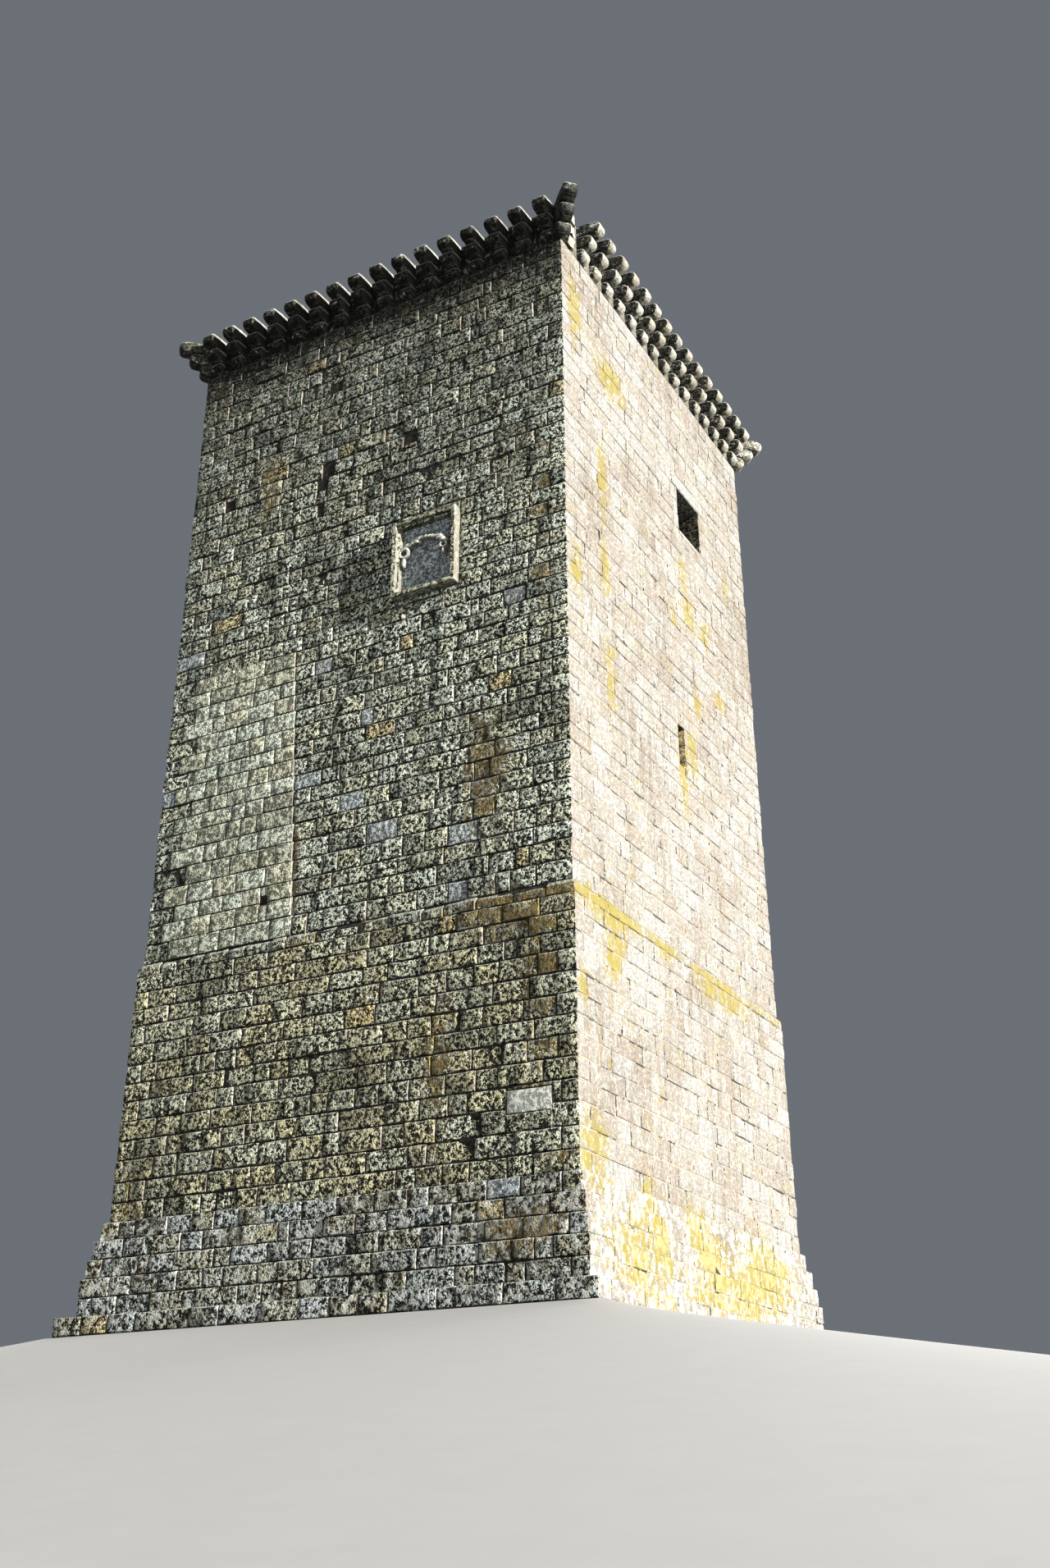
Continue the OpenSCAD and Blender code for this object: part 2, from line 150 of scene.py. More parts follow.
def select_only(*objects):
    bpy.ops.object.select_all(action="DESELECT")
    for o in objects:
        o.select_set(True)
    if objects:
        bpy.context.view_layer.objects.active = objects[0]


def start(name, primitive, **shape):
    """Starts a piece from one of Blender's primitives, with its size and place in its mesh."""
    select_only()
    primitive(**shape)
    made = bpy.context.object
    made.name = name
    bpy.ops.object.transform_apply(location=True, rotation=True, scale=True)
    return made


def block(name, size, middle):
    return start(name, bpy.ops.mesh.primitive_cube_add, size=1, location=middle, scale=size)


def pick(o, faces=None, edges=None):
    """Selects the faces or the edges that pass a test."""
    mesh = o.data
    for part in (mesh.vertices, mesh.edges, mesh.polygons):
        part.foreach_set("select", [False] * len(part))
    bpy.context.tool_settings.mesh_select_mode = (False, edges is not None, faces is not None)
    if faces:
        for f in mesh.polygons:
            f.select = faces(f)
    if edges:
        for e in mesh.edges:
            a, b = (mesh.vertices[i].co for i in e.vertices)
            e.select = edges(a, b)
            if e.select:
                for i in e.vertices:
                    mesh.vertices[i].select = True


def edit(o, *steps):
    """Runs edit mode operators on what is selected."""
    select_only(o)
    bpy.ops.object.mode_set(mode="EDIT")
    for step in steps:
        step()
    bpy.ops.object.mode_set(mode="OBJECT")


def extrude(x, y, z):
    return lambda: bpy.ops.mesh.extrude_region_move(TRANSFORM_OT_translate={"value": (x, y, z)})


def resize(x, y, z, about=(0, 0, 0)):
    return lambda: bpy.ops.transform.resize(value=(x, y, z), center_override=about)


def move(x, y, z):
    return lambda: bpy.ops.transform.translate(value=(x, y, z))


def inset(thickness, depth=0):
    return lambda: bpy.ops.mesh.inset(thickness=thickness, depth=depth)


def bevel(width, segments):
    return lambda: bpy.ops.mesh.bevel(offset=width, segments=segments, affect="EDGES")


def subdivide(cuts):
    return lambda: bpy.ops.mesh.subdivide(number_cuts=cuts)


def cut_along(o, axis, cuts):
    """Divides the edges that run along an axis."""
    if cuts < 1:
        return
    pick(o, edges=lambda a, b: abs((a - b)[axis]) > 0.9 * (a - b).length)
    edit(o, subdivide(cuts))


def level_at(z):
    """A test for the edges that lie level at a height."""
    return lambda a, b: abs(a.z - z) < 1e-3 and abs(b.z - z) < 1e-3


class Kind:
    """A stone modelled once: its mesh is copied for each place where it is laid."""

    def __init__(self, o, size):
        self.size = size
        self.mesh = o.data
        self.mesh.attributes.new("stone_mix", "FLOAT_VECTOR", "POINT")
        bpy.data.objects.remove(o)

    def copy(self, matrix, mix):
        mesh = self.mesh.copy()
        mesh.transform(matrix)
        mesh.attributes["stone_mix"].data.foreach_set("vector", list(mix) * len(mesh.vertices))
        return mesh


def random_mix(marked=None):
    """Tone, hue and growth of one stone. A few are slate grey (hue -1) or ochre (hue 2)."""
    hue = rng.random()
    chance = rng.random()
    if marked == "slate" or (marked is None and chance < 0.012):
        hue = -1.0
    elif marked == "ochre" or (marked is None and chance > 0.985):
        hue = 2.0
    return (rng.random(), hue, rng.random() * 0.4)


def spread_growth(piece, patches):
    """Adds lichen to a piece round given places: middle and reach, each in x, y and z."""
    mesh = piece.data
    places = np.empty(len(mesh.vertices) * 3)
    mesh.vertices.foreach_get("co", places)
    places = places.reshape(-1, 3)
    mixes = np.empty(len(mesh.vertices) * 3)
    attribute = mesh.attributes["stone_mix"].data
    attribute.foreach_get("vector", mixes)
    mixes = mixes.reshape(-1, 3)
    for middle, reach in patches:
        away = np.sqrt((((places - middle) / reach) ** 2).sum(axis=1))
        mixes[:, 2] += np.clip(1.4 - away, 0, 1)
    attribute.foreach_set("vector", mixes.ravel())


def join(name, meshes, material, replaces=()):
    """Makes one piece of many meshes."""
    parts = []
    for mesh in meshes:
        part = bpy.data.objects.new(name + "_part", mesh)
        scene.collection.objects.link(part)
        parts.append(part)
    select_only(*parts)
    if len(parts) > 1:
        bpy.ops.object.join()
    piece = bpy.context.view_layer.objects.active
    piece.name = name
    piece.data.materials.clear()
    piece.data.materials.append(material)
    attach(piece, "root")
    if replaces:
        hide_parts(*replaces)
    return piece


# Stones modelled once


def worn(o, seed, rough, edge=0.0, sharpness=30, segments=1, smooth=38, size=None):
    """Bevels the edges that turn by more than an angle in degrees, moves each corner a little at
    random, shades the stone smooth and keeps it as a kind."""
    if edge:
        sharp = math.radians(sharpness)
        pick(o, edges=lambda a, b: False)
        edit(o, lambda: bpy.ops.mesh.edges_select_sharp(sharpness=sharp), bevel(edge, segments))
    edit(o, lambda: bpy.ops.mesh.select_all(action="SELECT"),
         lambda: bpy.ops.transform.vertex_random(offset=rough, seed=seed))
    bpy.ops.object.shade_smooth_by_angle(angle=math.radians(smooth))
    return Kind(o, size)


def walling_stone(length, seed, cell, rough, arris, back=STONE_BACK):
    """A squared stone with a worn pillow face at y = 0 and its body behind."""
    deep = arris * 0.7
    o = block("stone", (length, back - deep, KIND_H), (0, (back + deep) / 2, 0))
    cut_along(o, 0, max(2, round(length / cell)) - 1)
    cut_along(o, 2, max(2, round(KIND_H / cell)) - 1)
    pick(o, faces=lambda f: f.normal.y < -0.9)
    edit(o, inset(arris * 0.3, deep * 0.65), inset(arris * 0.7, deep * 0.35))
    pick(o, faces=lambda f: f.normal.y > 0.9)
    edit(o, lambda: bpy.ops.mesh.dissolve_faces())
    return worn(o, seed, rough, size=(length, KIND_H))


def walling_stones(lengths, variants, first_seed, **shape):
    """Stones of several lengths, each in a few variants."""
    return [walling_stone(length, first_seed + 10 * n + i, **shape)
            for n, length in enumerate(lengths) for i in range(variants)]


def quoin(length, depth, seed):
    """A corner stone: its outer corner is at the origin, with faces to -y and +x."""
    o = block("quoin", (length, depth, KIND_H), (-length / 2, depth / 2, 0))
    cut_along(o, 0, max(1, round(length / QUOIN_CELL)) - 1)
    cut_along(o, 1, max(1, round(depth / QUOIN_CELL)) - 1)
    cut_along(o, 2, 1)
    return worn(o, seed, 0.010, edge=0.02, segments=2, size=(length, depth, KIND_H))


def offset_stone(length, seed):
    """A weathered stone of the offset course, with its sloping top."""
    depth = STONE_BACK + OFFSET_OUT
    o = block("offset_stone", (length, depth, OFFSET_FLAT_H), (0, depth / 2, OFFSET_FLAT_H / 2))
    cut_along(o, 0, max(1, round(length / 0.16)) - 1)
    pick(o, faces=lambda f: f.normal.z > 0.9)
    edit(o, extrude(0, 0, OFFSET_SLOPE_H), resize(1, STONE_BACK / depth, 1, (0, depth, 0)))
    return worn(o, seed, 0.014, edge=0.018, sharpness=25, size=(length, OFFSET_H))


def offset_corner(seed):
    """The offset course's corner stone, sloping off to both faces."""
    size = CORNER_BLOCK
    o = block("offset_corner", (size, size, OFFSET_FLAT_H), (-size / 2, size / 2, OFFSET_FLAT_H / 2))
    cut_along(o, 0, 2)
    cut_along(o, 1, 2)
    shrink = (size - OFFSET_OUT) / size
    pick(o, faces=lambda f: f.normal.z > 0.9)
    edit(o, extrude(0, 0, OFFSET_SLOPE_H), resize(shrink, shrink, 1, (-size, size, 0)))
    return worn(o, seed, 0.006, edge=0.014, sharpness=25)


def corbel_block(out, tail):
    """A corbel's block: the wall's face is at y = 0 and its bed at z = 0."""
    return block("corbel", (CORBEL_W, out + tail, CORBEL_H), (0, (tail - out) / 2, CORBEL_H / 2))


def corbel_stone(out, tail, seed):
    """A corbel with a bullet nose."""
    side = CORBEL_W / 2 - 0.01
    o = corbel_block(out, tail)
    pick(o, edges=lambda a, b: a.y < 0 and b.y < 0 and abs(a.x - b.x) > 0.1)
    edit(o, bevel(CORBEL_H * 0.48, 6))
    round_y = CORBEL_H * 0.55 - out
    pick(o, edges=lambda a, b: a.x * b.x > side * side and max(a.y, b.y) < round_y)
    edit(o, bevel(0.06, 3))
    cut_along(o, 0, 1)
    cut_along(o, 1, 2)
    return worn(o, seed, 0.008, edge=0.014, sharpness=60)


def corbel_stub(out, tail, seed):
    """What is left in the wall of a corbel that broke off."""
    o = corbel_block(out, tail)
    for axis, cuts in ((0, 3), (1, 1), (2, 3)):
        cut_along(o, axis, cuts)
    return worn(o, seed, 0.045, smooth=25)


def frame_rail(length, seed):
    """A moulded, mitred rail of the tablet's frame: its back at y = 0, its outer edge along x at z = 0."""
    width = RIM_W + STEP_W
    o = block("rail", (length, STEP_OUT, width), (0, -STEP_OUT / 2, width / 2))
    cut_along(o, 2, 1)
    pick(o, edges=level_at(width / 2))
    edit(o, move(0, 0, RIM_W - width / 2))
    pick(o, faces=lambda f: f.normal.y < -0.9 and f.center.z < RIM_W)
    edit(o, extrude(0, STEP_OUT - RIM_OUT, 0))
    for z in (RIM_W, width):
        pick(o, edges=level_at(z))
        edit(o, resize((length - 2 * z) / length, 1, 1))
    cut_along(o, 0, round(length / 0.16))
    return worn(o, seed, 0.004, edge=0.009, sharpness=50)


def shield(width, height, seed):
    """A blank heater shield with a raised rim, its back at y = 0 and its middle at the origin."""
    rows, tapered = 8, 5
    o = block("shield", (width, SHIELD_T, height), (0, -SHIELD_T / 2, 0))
    cut_along(o, 2, rows - 1)
    cut_along(o, 0, 3)
    for i in range(tapered):
        z = -height / 2 + i * height / rows
        down = 1 - i / tapered
        pick(o, edges=level_at(z))
        edit(o, resize(max(0.06, math.cos(down * math.pi / 2) ** 0.8), 1, 1, (0, 0, z)))
    pick(o, faces=lambda f: f.normal.y < -0.9)
    edit(o, inset(0.012), inset(0.028), inset(0.010, -0.016))
    return worn(o, seed, 0.003, edge=0.005, sharpness=50)


def rooted_carving(o, seed):
    """Runs a lump of the carving back into the slab."""
    pick(o, faces=lambda f: f.normal.y > 0.8)
    edit(o, extrude(0, 0.12, 0))
    return worn(o, seed, 0.008, smooth=50)


def leaf_lump(seed, size=(1.0, 0.8, 1.3)):
    """A worn leaf or drop of the carving."""
    o = start("leaf", bpy.ops.mesh.primitive_ico_sphere_add, subdivisions=2, radius=0.05, scale=size)
    pick(o, faces=lambda f: f.normal.z > 0.7)
    edit(o, extrude(0, 0.004, 0.02))
    return rooted_carving(o, seed)


def ring_boss(seed):
    """A worn ring with a hollow middle, facing -y."""
    o = start(
        "ring", bpy.ops.mesh.primitive_torus_add, rotation=(math.pi / 2, 0, 0),
        major_radius=0.066, minor_radius=0.027, major_segments=16, minor_segments=8,
    )
    return rooted_carving(o, seed)


def voussoir(seed):
    """A wedge of the round arch: its face at y = 0 and its middle on the ring's middle line."""
    step = math.pi / VOUSSOIRS
    wide, narrow = ARCH_OUT * step - JOINT, ARCH_IN * step - JOINT
    o = block("voussoir", (wide, 0.16, ARCH_OUT - ARCH_IN - 0.006), (0, 0.08, 0))
    pick(o, faces=lambda f: f.normal.z < -0.9)
    edit(o, resize(narrow / wide, 1, 1))
    cut_along(o, 2, 2)
    return worn(o, seed, 0.004, edge=0.014, sharpness=40)


# Courses

# Upright joints nearer than this to one in the course below are moved on
NEAR_JOINT, MOVED_ON, LEAST_STONE = 0.06, 0.1, 0.14


def uneven_lines(low, high, count, least, most):
    """Divides a length into shares that differ at random."""
    shares = [rng.uniform(least, most) for _ in range(count)]
    lines = [low]
    for share in shares:
        lines.append(lines[-1] + share / sum(shares) * (high - low))
    lines[-1] = high
    return lines


def course_lines(levels):
    """Heights of the beds between fixed levels, with the small differences of real courses."""
    lines = [levels[0]]
    for low, high in pairwise(levels):
        lines += uneven_lines(low, high, max(1, round((high - low) / COURSE)), 0.88, 1.12)[1:]
    return lines


def upright_joints(x0, x1, mean, below=()):
    """Ends of the stones in one course, clear of the upright joints in the course below."""
    count = max(1, round((x1 - x0) / mean * rng.uniform(0.9, 1.1)))
    joints = uneven_lines(x0, x1, count, 0.55, 1.5)
    for i in range(1, count):
        if any(abs(joints[i] - x) < NEAR_JOINT for x in below):
            moved = joints[i] + MOVED_ON
            if moved < joints[i + 1] - LEAST_STONE:
                joints[i] = moved
    return joints


def clear_spans(x0, x1, z0, z1, holes):
    """The parts of a course that no hole cuts, and the narrow strips left over and under holes."""
    spans = [(x0, x1)]
    strips = []
    for hx0, hx1, hz0, hz1 in holes:
        if min(z1, hz1) - max(z0, hz0) < 0.04:
            continue
        spans = [
            piece
            for a, b in spans
            for piece in ((a, min(b, hx0)), (max(a, hx1), b))
            if piece[1] - piece[0] > 0.05
        ]
        if z1 - hz1 > 0.05:
            strips.append((hx0, hx1, hz1, z1))
        if hz0 - z0 > 0.05:
            strips.append((hx0, hx1, z0, hz0))
    return spans, strips


# Past this length a stone leans less, so that its ends stay in the wall
SWING_LENGTH = 0.4


def leaning(angles):
    return Euler(angles).to_matrix().to_4x4()


def set_stone(kinds, x0, x1, z0, z1, proud, place, mix=None, tilt=0.012, joint=JOINT):
    """Lays one stone in its place on a face, scaled from a kind of about its shape."""
    length, height = x1 - x0 - joint, z1 - z0 - joint
    near = sorted(kinds, key=lambda k: abs(k.size[0] - length * k.size[1] / max(height, 0.05)))[:4]
    kind = rng.choice(near)
    flip = rng.choice((1, -1))
    shape = sized(flip * length / kind.size[0], 1, flip * height / kind.size[1])
    middle = shift((x0 + x1) / 2, -proud, (z0 + z1) / 2)
    swing = tilt * min(1.0, SWING_LENGTH / length)
    angles = [max(-1.5 * t, min(1.5 * t, rng.gauss(0, t))) for t in (tilt, tilt * 0.3, swing)]
    return kind.copy(place @ middle @ leaning(angles) @ shape, mix or random_mix())


def proud_of(mean, spread):
    """How far a stone's face stands out: most are close to the mean, and a few are worn back."""
    if rng.random() < 0.1:
        return mean - spread * rng.uniform(1.0, 1.3)
    return mean + spread * rng.uniform(-0.6, 0.9)


def mark_at(marks, x0, x1, z0, z1):
    if marks == "plain":
        return marks
    for x, z, kind in marks:
        if x0 <= x <= x1 and z0 <= z <= z1:
            return kind
    return None


def lay_course(pile, kinds, x0, x1, z0, z1, place, holes=(), below=(), name="right",
               mean=MEAN_STONE, marks=()):
    """Lays one course on a face between x0 and x1, and returns its upright joints."""
    spans, strips = clear_spans(x0, x1, z0, z1, holes)
    proud, spread = PROUD[name], SPREAD[name]
    joints_made = []
    for a, b in spans:
        joints = upright_joints(a, b, mean, below)
        joints_made += joints
        for p, q in pairwise(joints):
            mix = random_mix(mark_at(marks, p, q, z0, z1))
            joint = rng.uniform(*JOINTS[name])
            out = proud_of(proud, spread)
            pile.append(set_stone(kinds, p, q, z0, z1, out, place, mix, spread * 1.5, joint))
    for a, b, low, high in strips:
        for p, q in pairwise(upright_joints(a, b, STRIP_STONE)):
            pile.append(set_stone(kinds, p, q, low, high, proud_of(proud, spread), place))
    return joints_made


def corner_sizes(i):
    """Lengths of a corner stone along its two faces, long and short by turns."""
    sizes = (rng.uniform(0.5, 0.8), rng.uniform(0.27, 0.36))
    return sizes if i % 2 == 0 else sizes[::-1]


def set_quoin(a, b, z0, z1, k, distance):
    """Lays the corner stone where face k meets the next face."""
    height = z1 - z0 - JOINT
    kind = rng.choice([q for q in QUOIN_KINDS if (q.size[0] > q.size[1]) == (a > b)])
    length, depth, tall = kind.size
    more = rng.uniform(-0.004, 0.007)
    here, beyond = PROUD[FACES[k]] + more, PROUD[FACES[(k + 1) % 4]] + more
    shape = sized((a - JOINT + beyond) / length, (b - JOINT + here) / depth, height / tall)
    corner = shift(distance + beyond, -distance - here, (z0 + z1) / 2)
    return kind.copy(quarter_turns(k) @ corner @ shape, random_mix())


# Shader building


class Value:
    """A shader socket that works in Python expressions."""

    def __init__(self, paint, socket):
        self.paint = paint
        self.socket = socket

    def _with(self, operation, a, b):
        return self.paint.add("Math", {"operation": operation}, {0: a, 1: b})

    def __add__(self, other):
        return self._with("ADD", self, other)

    def __sub__(self, other):
        return self._with("SUBTRACT", self, other)

    def __rsub__(self, other):
        return self._with("SUBTRACT", other, self)

    def __mul__(self, other):
        return self._with("MULTIPLY", self, other)

    __radd__ = __add__
    __rmul__ = __mul__


class Paint:
    """A material and the one way that nodes are added to it."""

    def __init__(self, name, roughness=0.9):
        self.material = bpy.data.materials.new(name)
        self.material.use_nodes = True
        self.tree = self.material.node_tree
        self.shader = self.tree.nodes["Principled BSDF"]
        self.shader.inputs["Roughness"].default_value = roughness
        self.shader.inputs["Specular IOR Level"].default_value = 0.25
        self.place = self.add("TexCoord", {}, {}, "Object")

    def add(self, kind, settings, inputs, output=0):
        node = self.tree.nodes.new("ShaderNode" + kind)
        for key, value in settings.items():
            setattr(node, key, value)
        for key, value in inputs.items():
            if isinstance(value, Value):
                self.tree.links.new(value.socket, node.inputs[key])
            elif value is not None:
                node.inputs[key].default_value = value
        return Value(self, node.outputs[output])

    def stretched(self, factors):
        return self.add("VectorMath", {"operation": "MULTIPLY"}, {0: self.place, 1: factors})

    def noise(self, scale, detail, roughness, vector=None, distortion=0.0):
        inputs = {
            "Vector": vector or self.place, "Scale": scale, "Detail": detail,
            "Roughness": roughness, "Distortion": distortion,
        }
        return self.add("TexNoise", {}, inputs)

    def cells(self, scale, vector, feature="F1", output=0):
        inputs = {"Vector": vector, "Scale": scale}
        return self.add("TexVoronoi", {"feature": feature}, inputs, output)

    def between(self, value, low, high, out_low=0.0, out_high=1.0):
        """Maps low..high to out_low..out_high smoothly and clamps outside."""
        inputs = {"Value": value, "From Min": low, "From Max": high, "To Min": out_low, "To Max": out_high}
        return self.add("MapRange", {"interpolation_type": "SMOOTHSTEP"}, inputs)

    def mix(self, factor, a, b):
        inputs = {0: factor, 6: as_colour(a), 7: as_colour(b)}
        return self.add("Mix", {"data_type": "RGBA"}, inputs, 2)

    def scaled(self, colour, factor):
        return self.add("VectorMath", {"operation": "SCALE"}, {0: colour, "Scale": factor})

    def part(self, vector, name):
        return self.add("SeparateXYZ", {}, {0: vector}, name)

    def axis(self, name):
        return self.part(self.place, name)

    def facing(self, name):
        """One part of the direction that the surface faces, from -1 to 1."""
        return self.part(self.add("TexCoord", {}, {}, "Normal"), name)

    def dry_lit_side(self):
        """1 on the dry sides to the right and the back, 0 on the damp front and left: these are also the lit
        and the shaded sides, and the palettes it picks are partly painted light and shade.
        """
        return self.between(self.facing("X") + self.facing("Y"), -0.3, 0.4)

    def stone_mix(self, name):
        return self.part(self.add("Attribute", {"attribute_name": "stone_mix"}, {}, "Vector"), name)

    def use(self, colour, height=None, depth=0.01):
        """Links the colour and the relief to the shader."""
        self.tree.links.new(colour.socket, self.shader.inputs["Base Color"])
        if height is not None:
            bump = self.add("Bump", {}, {"Distance": depth, "Height": height})
            self.tree.links.new(bump.socket, self.shader.inputs["Normal"])
        return self.material


def as_colour(value):
    return value if isinstance(value, Value) else (*value, 1.0)


# Single colours of stones and growth
OCHRE = (0.36, 0.28, 0.12)
SLATE = (0.31, 0.35, 0.37)
CRUST = (0.70, 0.72, 0.66)
MOSS = (0.05, 0.045, 0.025)
RUST_LICHEN = (0.36, 0.24, 0.06)
GOLD_LICHEN = (0.28, 0.22, 0.015)
GREY_LICHEN_AND_TOP_LIGHT = (0.60, 0.62, 0.54)
LIME_POINTING = (0.38, 0.33, 0.27)
DRY_JOINT = (0.045, 0.04, 0.03)
DAMP_JOINT = (0.06, 0.055, 0.04)
BLACK_JOINT = (0.012, 0.012, 0.01)
# Inner walling, darkened as painted shade inside the openings
FIELD_STONE_DARK, FIELD_STONE_PALE = (0.10, 0.09, 0.065), (0.24, 0.215, 0.165)
INNER_LIME = (0.20, 0.185, 0.15)
INNER_MOSS = (0.08, 0.095, 0.035)
OAK_DARK, OAK_PALE = (0.16, 0.10, 0.055), (0.36, 0.26, 0.16)

# How far below the shaft's top the painted shadow of the crown and its drip stains end, and where they are
# full
CROWN_SHADOW_REACH, CROWN_SHADOW_FULL = 1.15, 0.25
DRIPS_REACH, DRIPS_FULL = 7.5, 0.8


def granite(name, damp_and_shaded, dry_and_lit, stain, crust=0.3, gold=0.8, relief=0.05, speckle=1.0, spread=0.59,
            painted_flank_shade=False):
    """Weathered granite from two palettes of a light, a buff and a dark: dark and speckled on the damp,
    shaded sides, pale on the dry, lit ones, which is partly real weathering and partly painted light and
    shade. Stain, crust and gold say how much there is of dark growth, pale lichen and gold lichen, and the
    last flag blackens the lit flanks of the corbels below their tops as painted shadow of the next corbel."""
    paint = Paint(name)
    dry_lit_side = paint.dry_lit_side()
    damp_shaded_side = 1 - dry_lit_side
    tone, hue, growth = (paint.stone_mix(axis) for axis in "XYZ")
    lumps = paint.noise(15, 2.0, 0.8)
    grain = paint.noise(44, 2.0, 0.7)
    mottle = paint.noise(5.5, 4.0, 0.6, distortion=0.4)
    drift = paint.noise(0.45, 3.0, 0.6)
    runs = paint.noise(3.0, 4.0, 0.65, vector=paint.stretched((1.6, 1.6, 0.25)))
    # Lit and shaded copies of each palette, picked by the way a face turns: partly real weathering, partly
    # painted light and shade
    light, buff, dark = (paint.mix(dry_lit_side, *pair) for pair in zip(damp_and_shaded, dry_and_lit))
    # Each stone's own shade, more often dark on the damp, shaded sides, partly as painted shade, then
    # blotches and runs of dark growth
    colour = paint.mix(paint.between(hue * 0.5 + mottle * 0.5, 0.3, 0.75), light, buff)
    colour = paint.mix(paint.between(tone + mottle * 0.5, 0.8, 1.4) * (0.3 + damp_shaded_side * 0.35), colour, dark)
    colour = paint.mix(paint.between(hue, 1.2, 1.8) * damp_shaded_side * 0.55, colour, OCHRE)
    colour = paint.mix(paint.between(runs * 0.55 + drift * 0.45, 0.45, 0.64) * stain, colour, dark)
    slate = paint.between(hue, -0.2, -0.8) * damp_shaded_side
    colour = paint.mix(slate * 0.7, colour, SLATE)
    # Painted shadow of the crown on the shaded sides, and dark drip stains below it
    up = paint.axis("Z")
    crown_shadow = paint.between(up + mottle * 0.8 - 0.4, SHAFT_TOP - CROWN_SHADOW_REACH, SHAFT_TOP - CROWN_SHADOW_FULL)
    drips = paint.between(up + runs * 6 - 3, SHAFT_TOP - DRIPS_REACH, SHAFT_TOP - DRIPS_FULL)
    colour = paint.scaled(colour, 1 - crown_shadow * damp_shaded_side * 0.82)
    colour = paint.scaled(colour, 1 - drips * damp_shaded_side * 0.5)
    # Grains of quartz, mica and black growth; on the shaded sides their bright grains are boosted as painted
    # glints of raking light, and they tell less on the lit sides
    grains = lumps * 0.68 + grain * 0.32
    grain_and_glint_strength = (1 - dry_lit_side * 0.84) * (1 - slate * 0.4) * speckle
    colour = paint.scaled(colour, paint.between(grains, 0.472, 0.56, 1 - grain_and_glint_strength * 0.98, 1 + grain_and_glint_strength * 2.0))
    pale = paint.between(paint.noise(7, 5.0, 0.75) + growth * 0.06, spread, spread + 0.04)
    colour = paint.mix(pale * crust, colour, CRUST)
    # Lichen in drops and runs: gold in the sun, brown and black in the damp
    specks = paint.noise(11, 6.0, 0.85, vector=paint.stretched((1, 1, 0.6)), distortion=0.6)
    spots = paint.between(specks + growth * (0.11 + dry_lit_side * 0.04), 0.615, 0.64)
    moss = paint.between(mottle + growth * 0.25, 0.62, 0.85) * damp_shaded_side
    colour = paint.mix(moss * 0.8, colour, MOSS)
    colour = paint.mix(spots * gold * (0.6 + dry_lit_side * 0.4), colour, paint.mix(dry_lit_side, RUST_LICHEN, GOLD_LICHEN))
    # Upper edges on the shaded sides are paler, partly grey lichen and partly painted light; undersides are
    # darkened as painted shade
    upward = paint.facing("Z")
    colour = paint.mix(paint.between(upward, 0.2, 0.6) * damp_shaded_side * 0.6, colour, GREY_LICHEN_AND_TOP_LIGHT)
    colour = paint.scaled(colour, 1 - paint.between(upward, -0.2, -0.8) * (0.3 + damp_shaded_side * 0.58))
    # Painted shadow of the next corbel: below a lit band at the top of each tier, the lit flanks are
    # blackened
    if painted_flank_shade:
        tier = paint.add("Math", {"operation": "FRACT"}, {0: (up - SHAFT_TOP) * (1 / TIER_H)})
        below = (1 - paint.between(tier, 0.6, 0.75)) * dry_lit_side * paint.between(upward, 0.6, 0.3)
        colour = paint.scaled(colour, 1 - below * 0.9)
    height = (lumps * 1.3 + grain * 0.4 + mottle) * (1 - dry_lit_side * 0.75) * (1 - slate * 0.6)
    return paint.use(colour, height, relief)


def mortar(name):
    """Joints: open and black on the damp, shaded sides, and in places pointed with pale lime on the dry, lit
    ones, partly as painted light and shade; their undersides are darkened as painted shade.
    """
    paint = Paint(name, 0.95)
    lumps = paint.noise(14, 4.0, 0.65)
    pointed = paint.between(paint.noise(1.7, 5.0, 0.7), 0.53, 0.57)
    lit_side_joint = paint.mix(pointed, LIME_POINTING, DRY_JOINT)
    shaded_damp_joint = paint.mix(paint.between(lumps, 0.4, 0.7), BLACK_JOINT, DAMP_JOINT)
    colour = paint.mix(paint.dry_lit_side(), shaded_damp_joint, lit_side_joint)
    underside_shade = paint.between(paint.facing("Z"), -0.2, -0.8)
    return paint.use(paint.scaled(colour, 1 - underside_shade * 0.85), lumps, 0.02)


def rubble(name):
    """Rough inner walling: small field stones in lime, seen through the openings, darkened as painted shade
    of their depth.
    """
    paint = Paint(name, 0.95)
    flat = paint.stretched((1, 1, 1.5))
    edge = paint.cells(3.4, flat, "DISTANCE_TO_EDGE")
    stone = paint.cells(3.4, flat, output="Color")
    colour = paint.mix(paint.part(stone, "X"), FIELD_STONE_DARK, FIELD_STONE_PALE)
    lime = paint.between(edge, 0.09, 0.03)
    colour = paint.mix(lime, colour, INNER_LIME)
    moss = paint.between(paint.noise(4, 5.0, 0.7), 0.55, 0.7)
    colour = paint.mix(moss * 0.6, colour, INNER_MOSS)
    height = paint.between(edge, 0.0, 0.12) + paint.noise(20, 4.0, 0.6) * 0.3
    return paint.use(colour, height, 0.05)


def old_oak(name):
    paint = Paint(name, 0.8)
    fibres = paint.noise(6, 5.0, 0.65, vector=paint.stretched((0.3, 6, 6)))
    colour = paint.mix(paint.between(fibres, 0.3, 0.7), OAK_DARK, OAK_PALE)
    return paint.use(colour, fibres, 0.006)


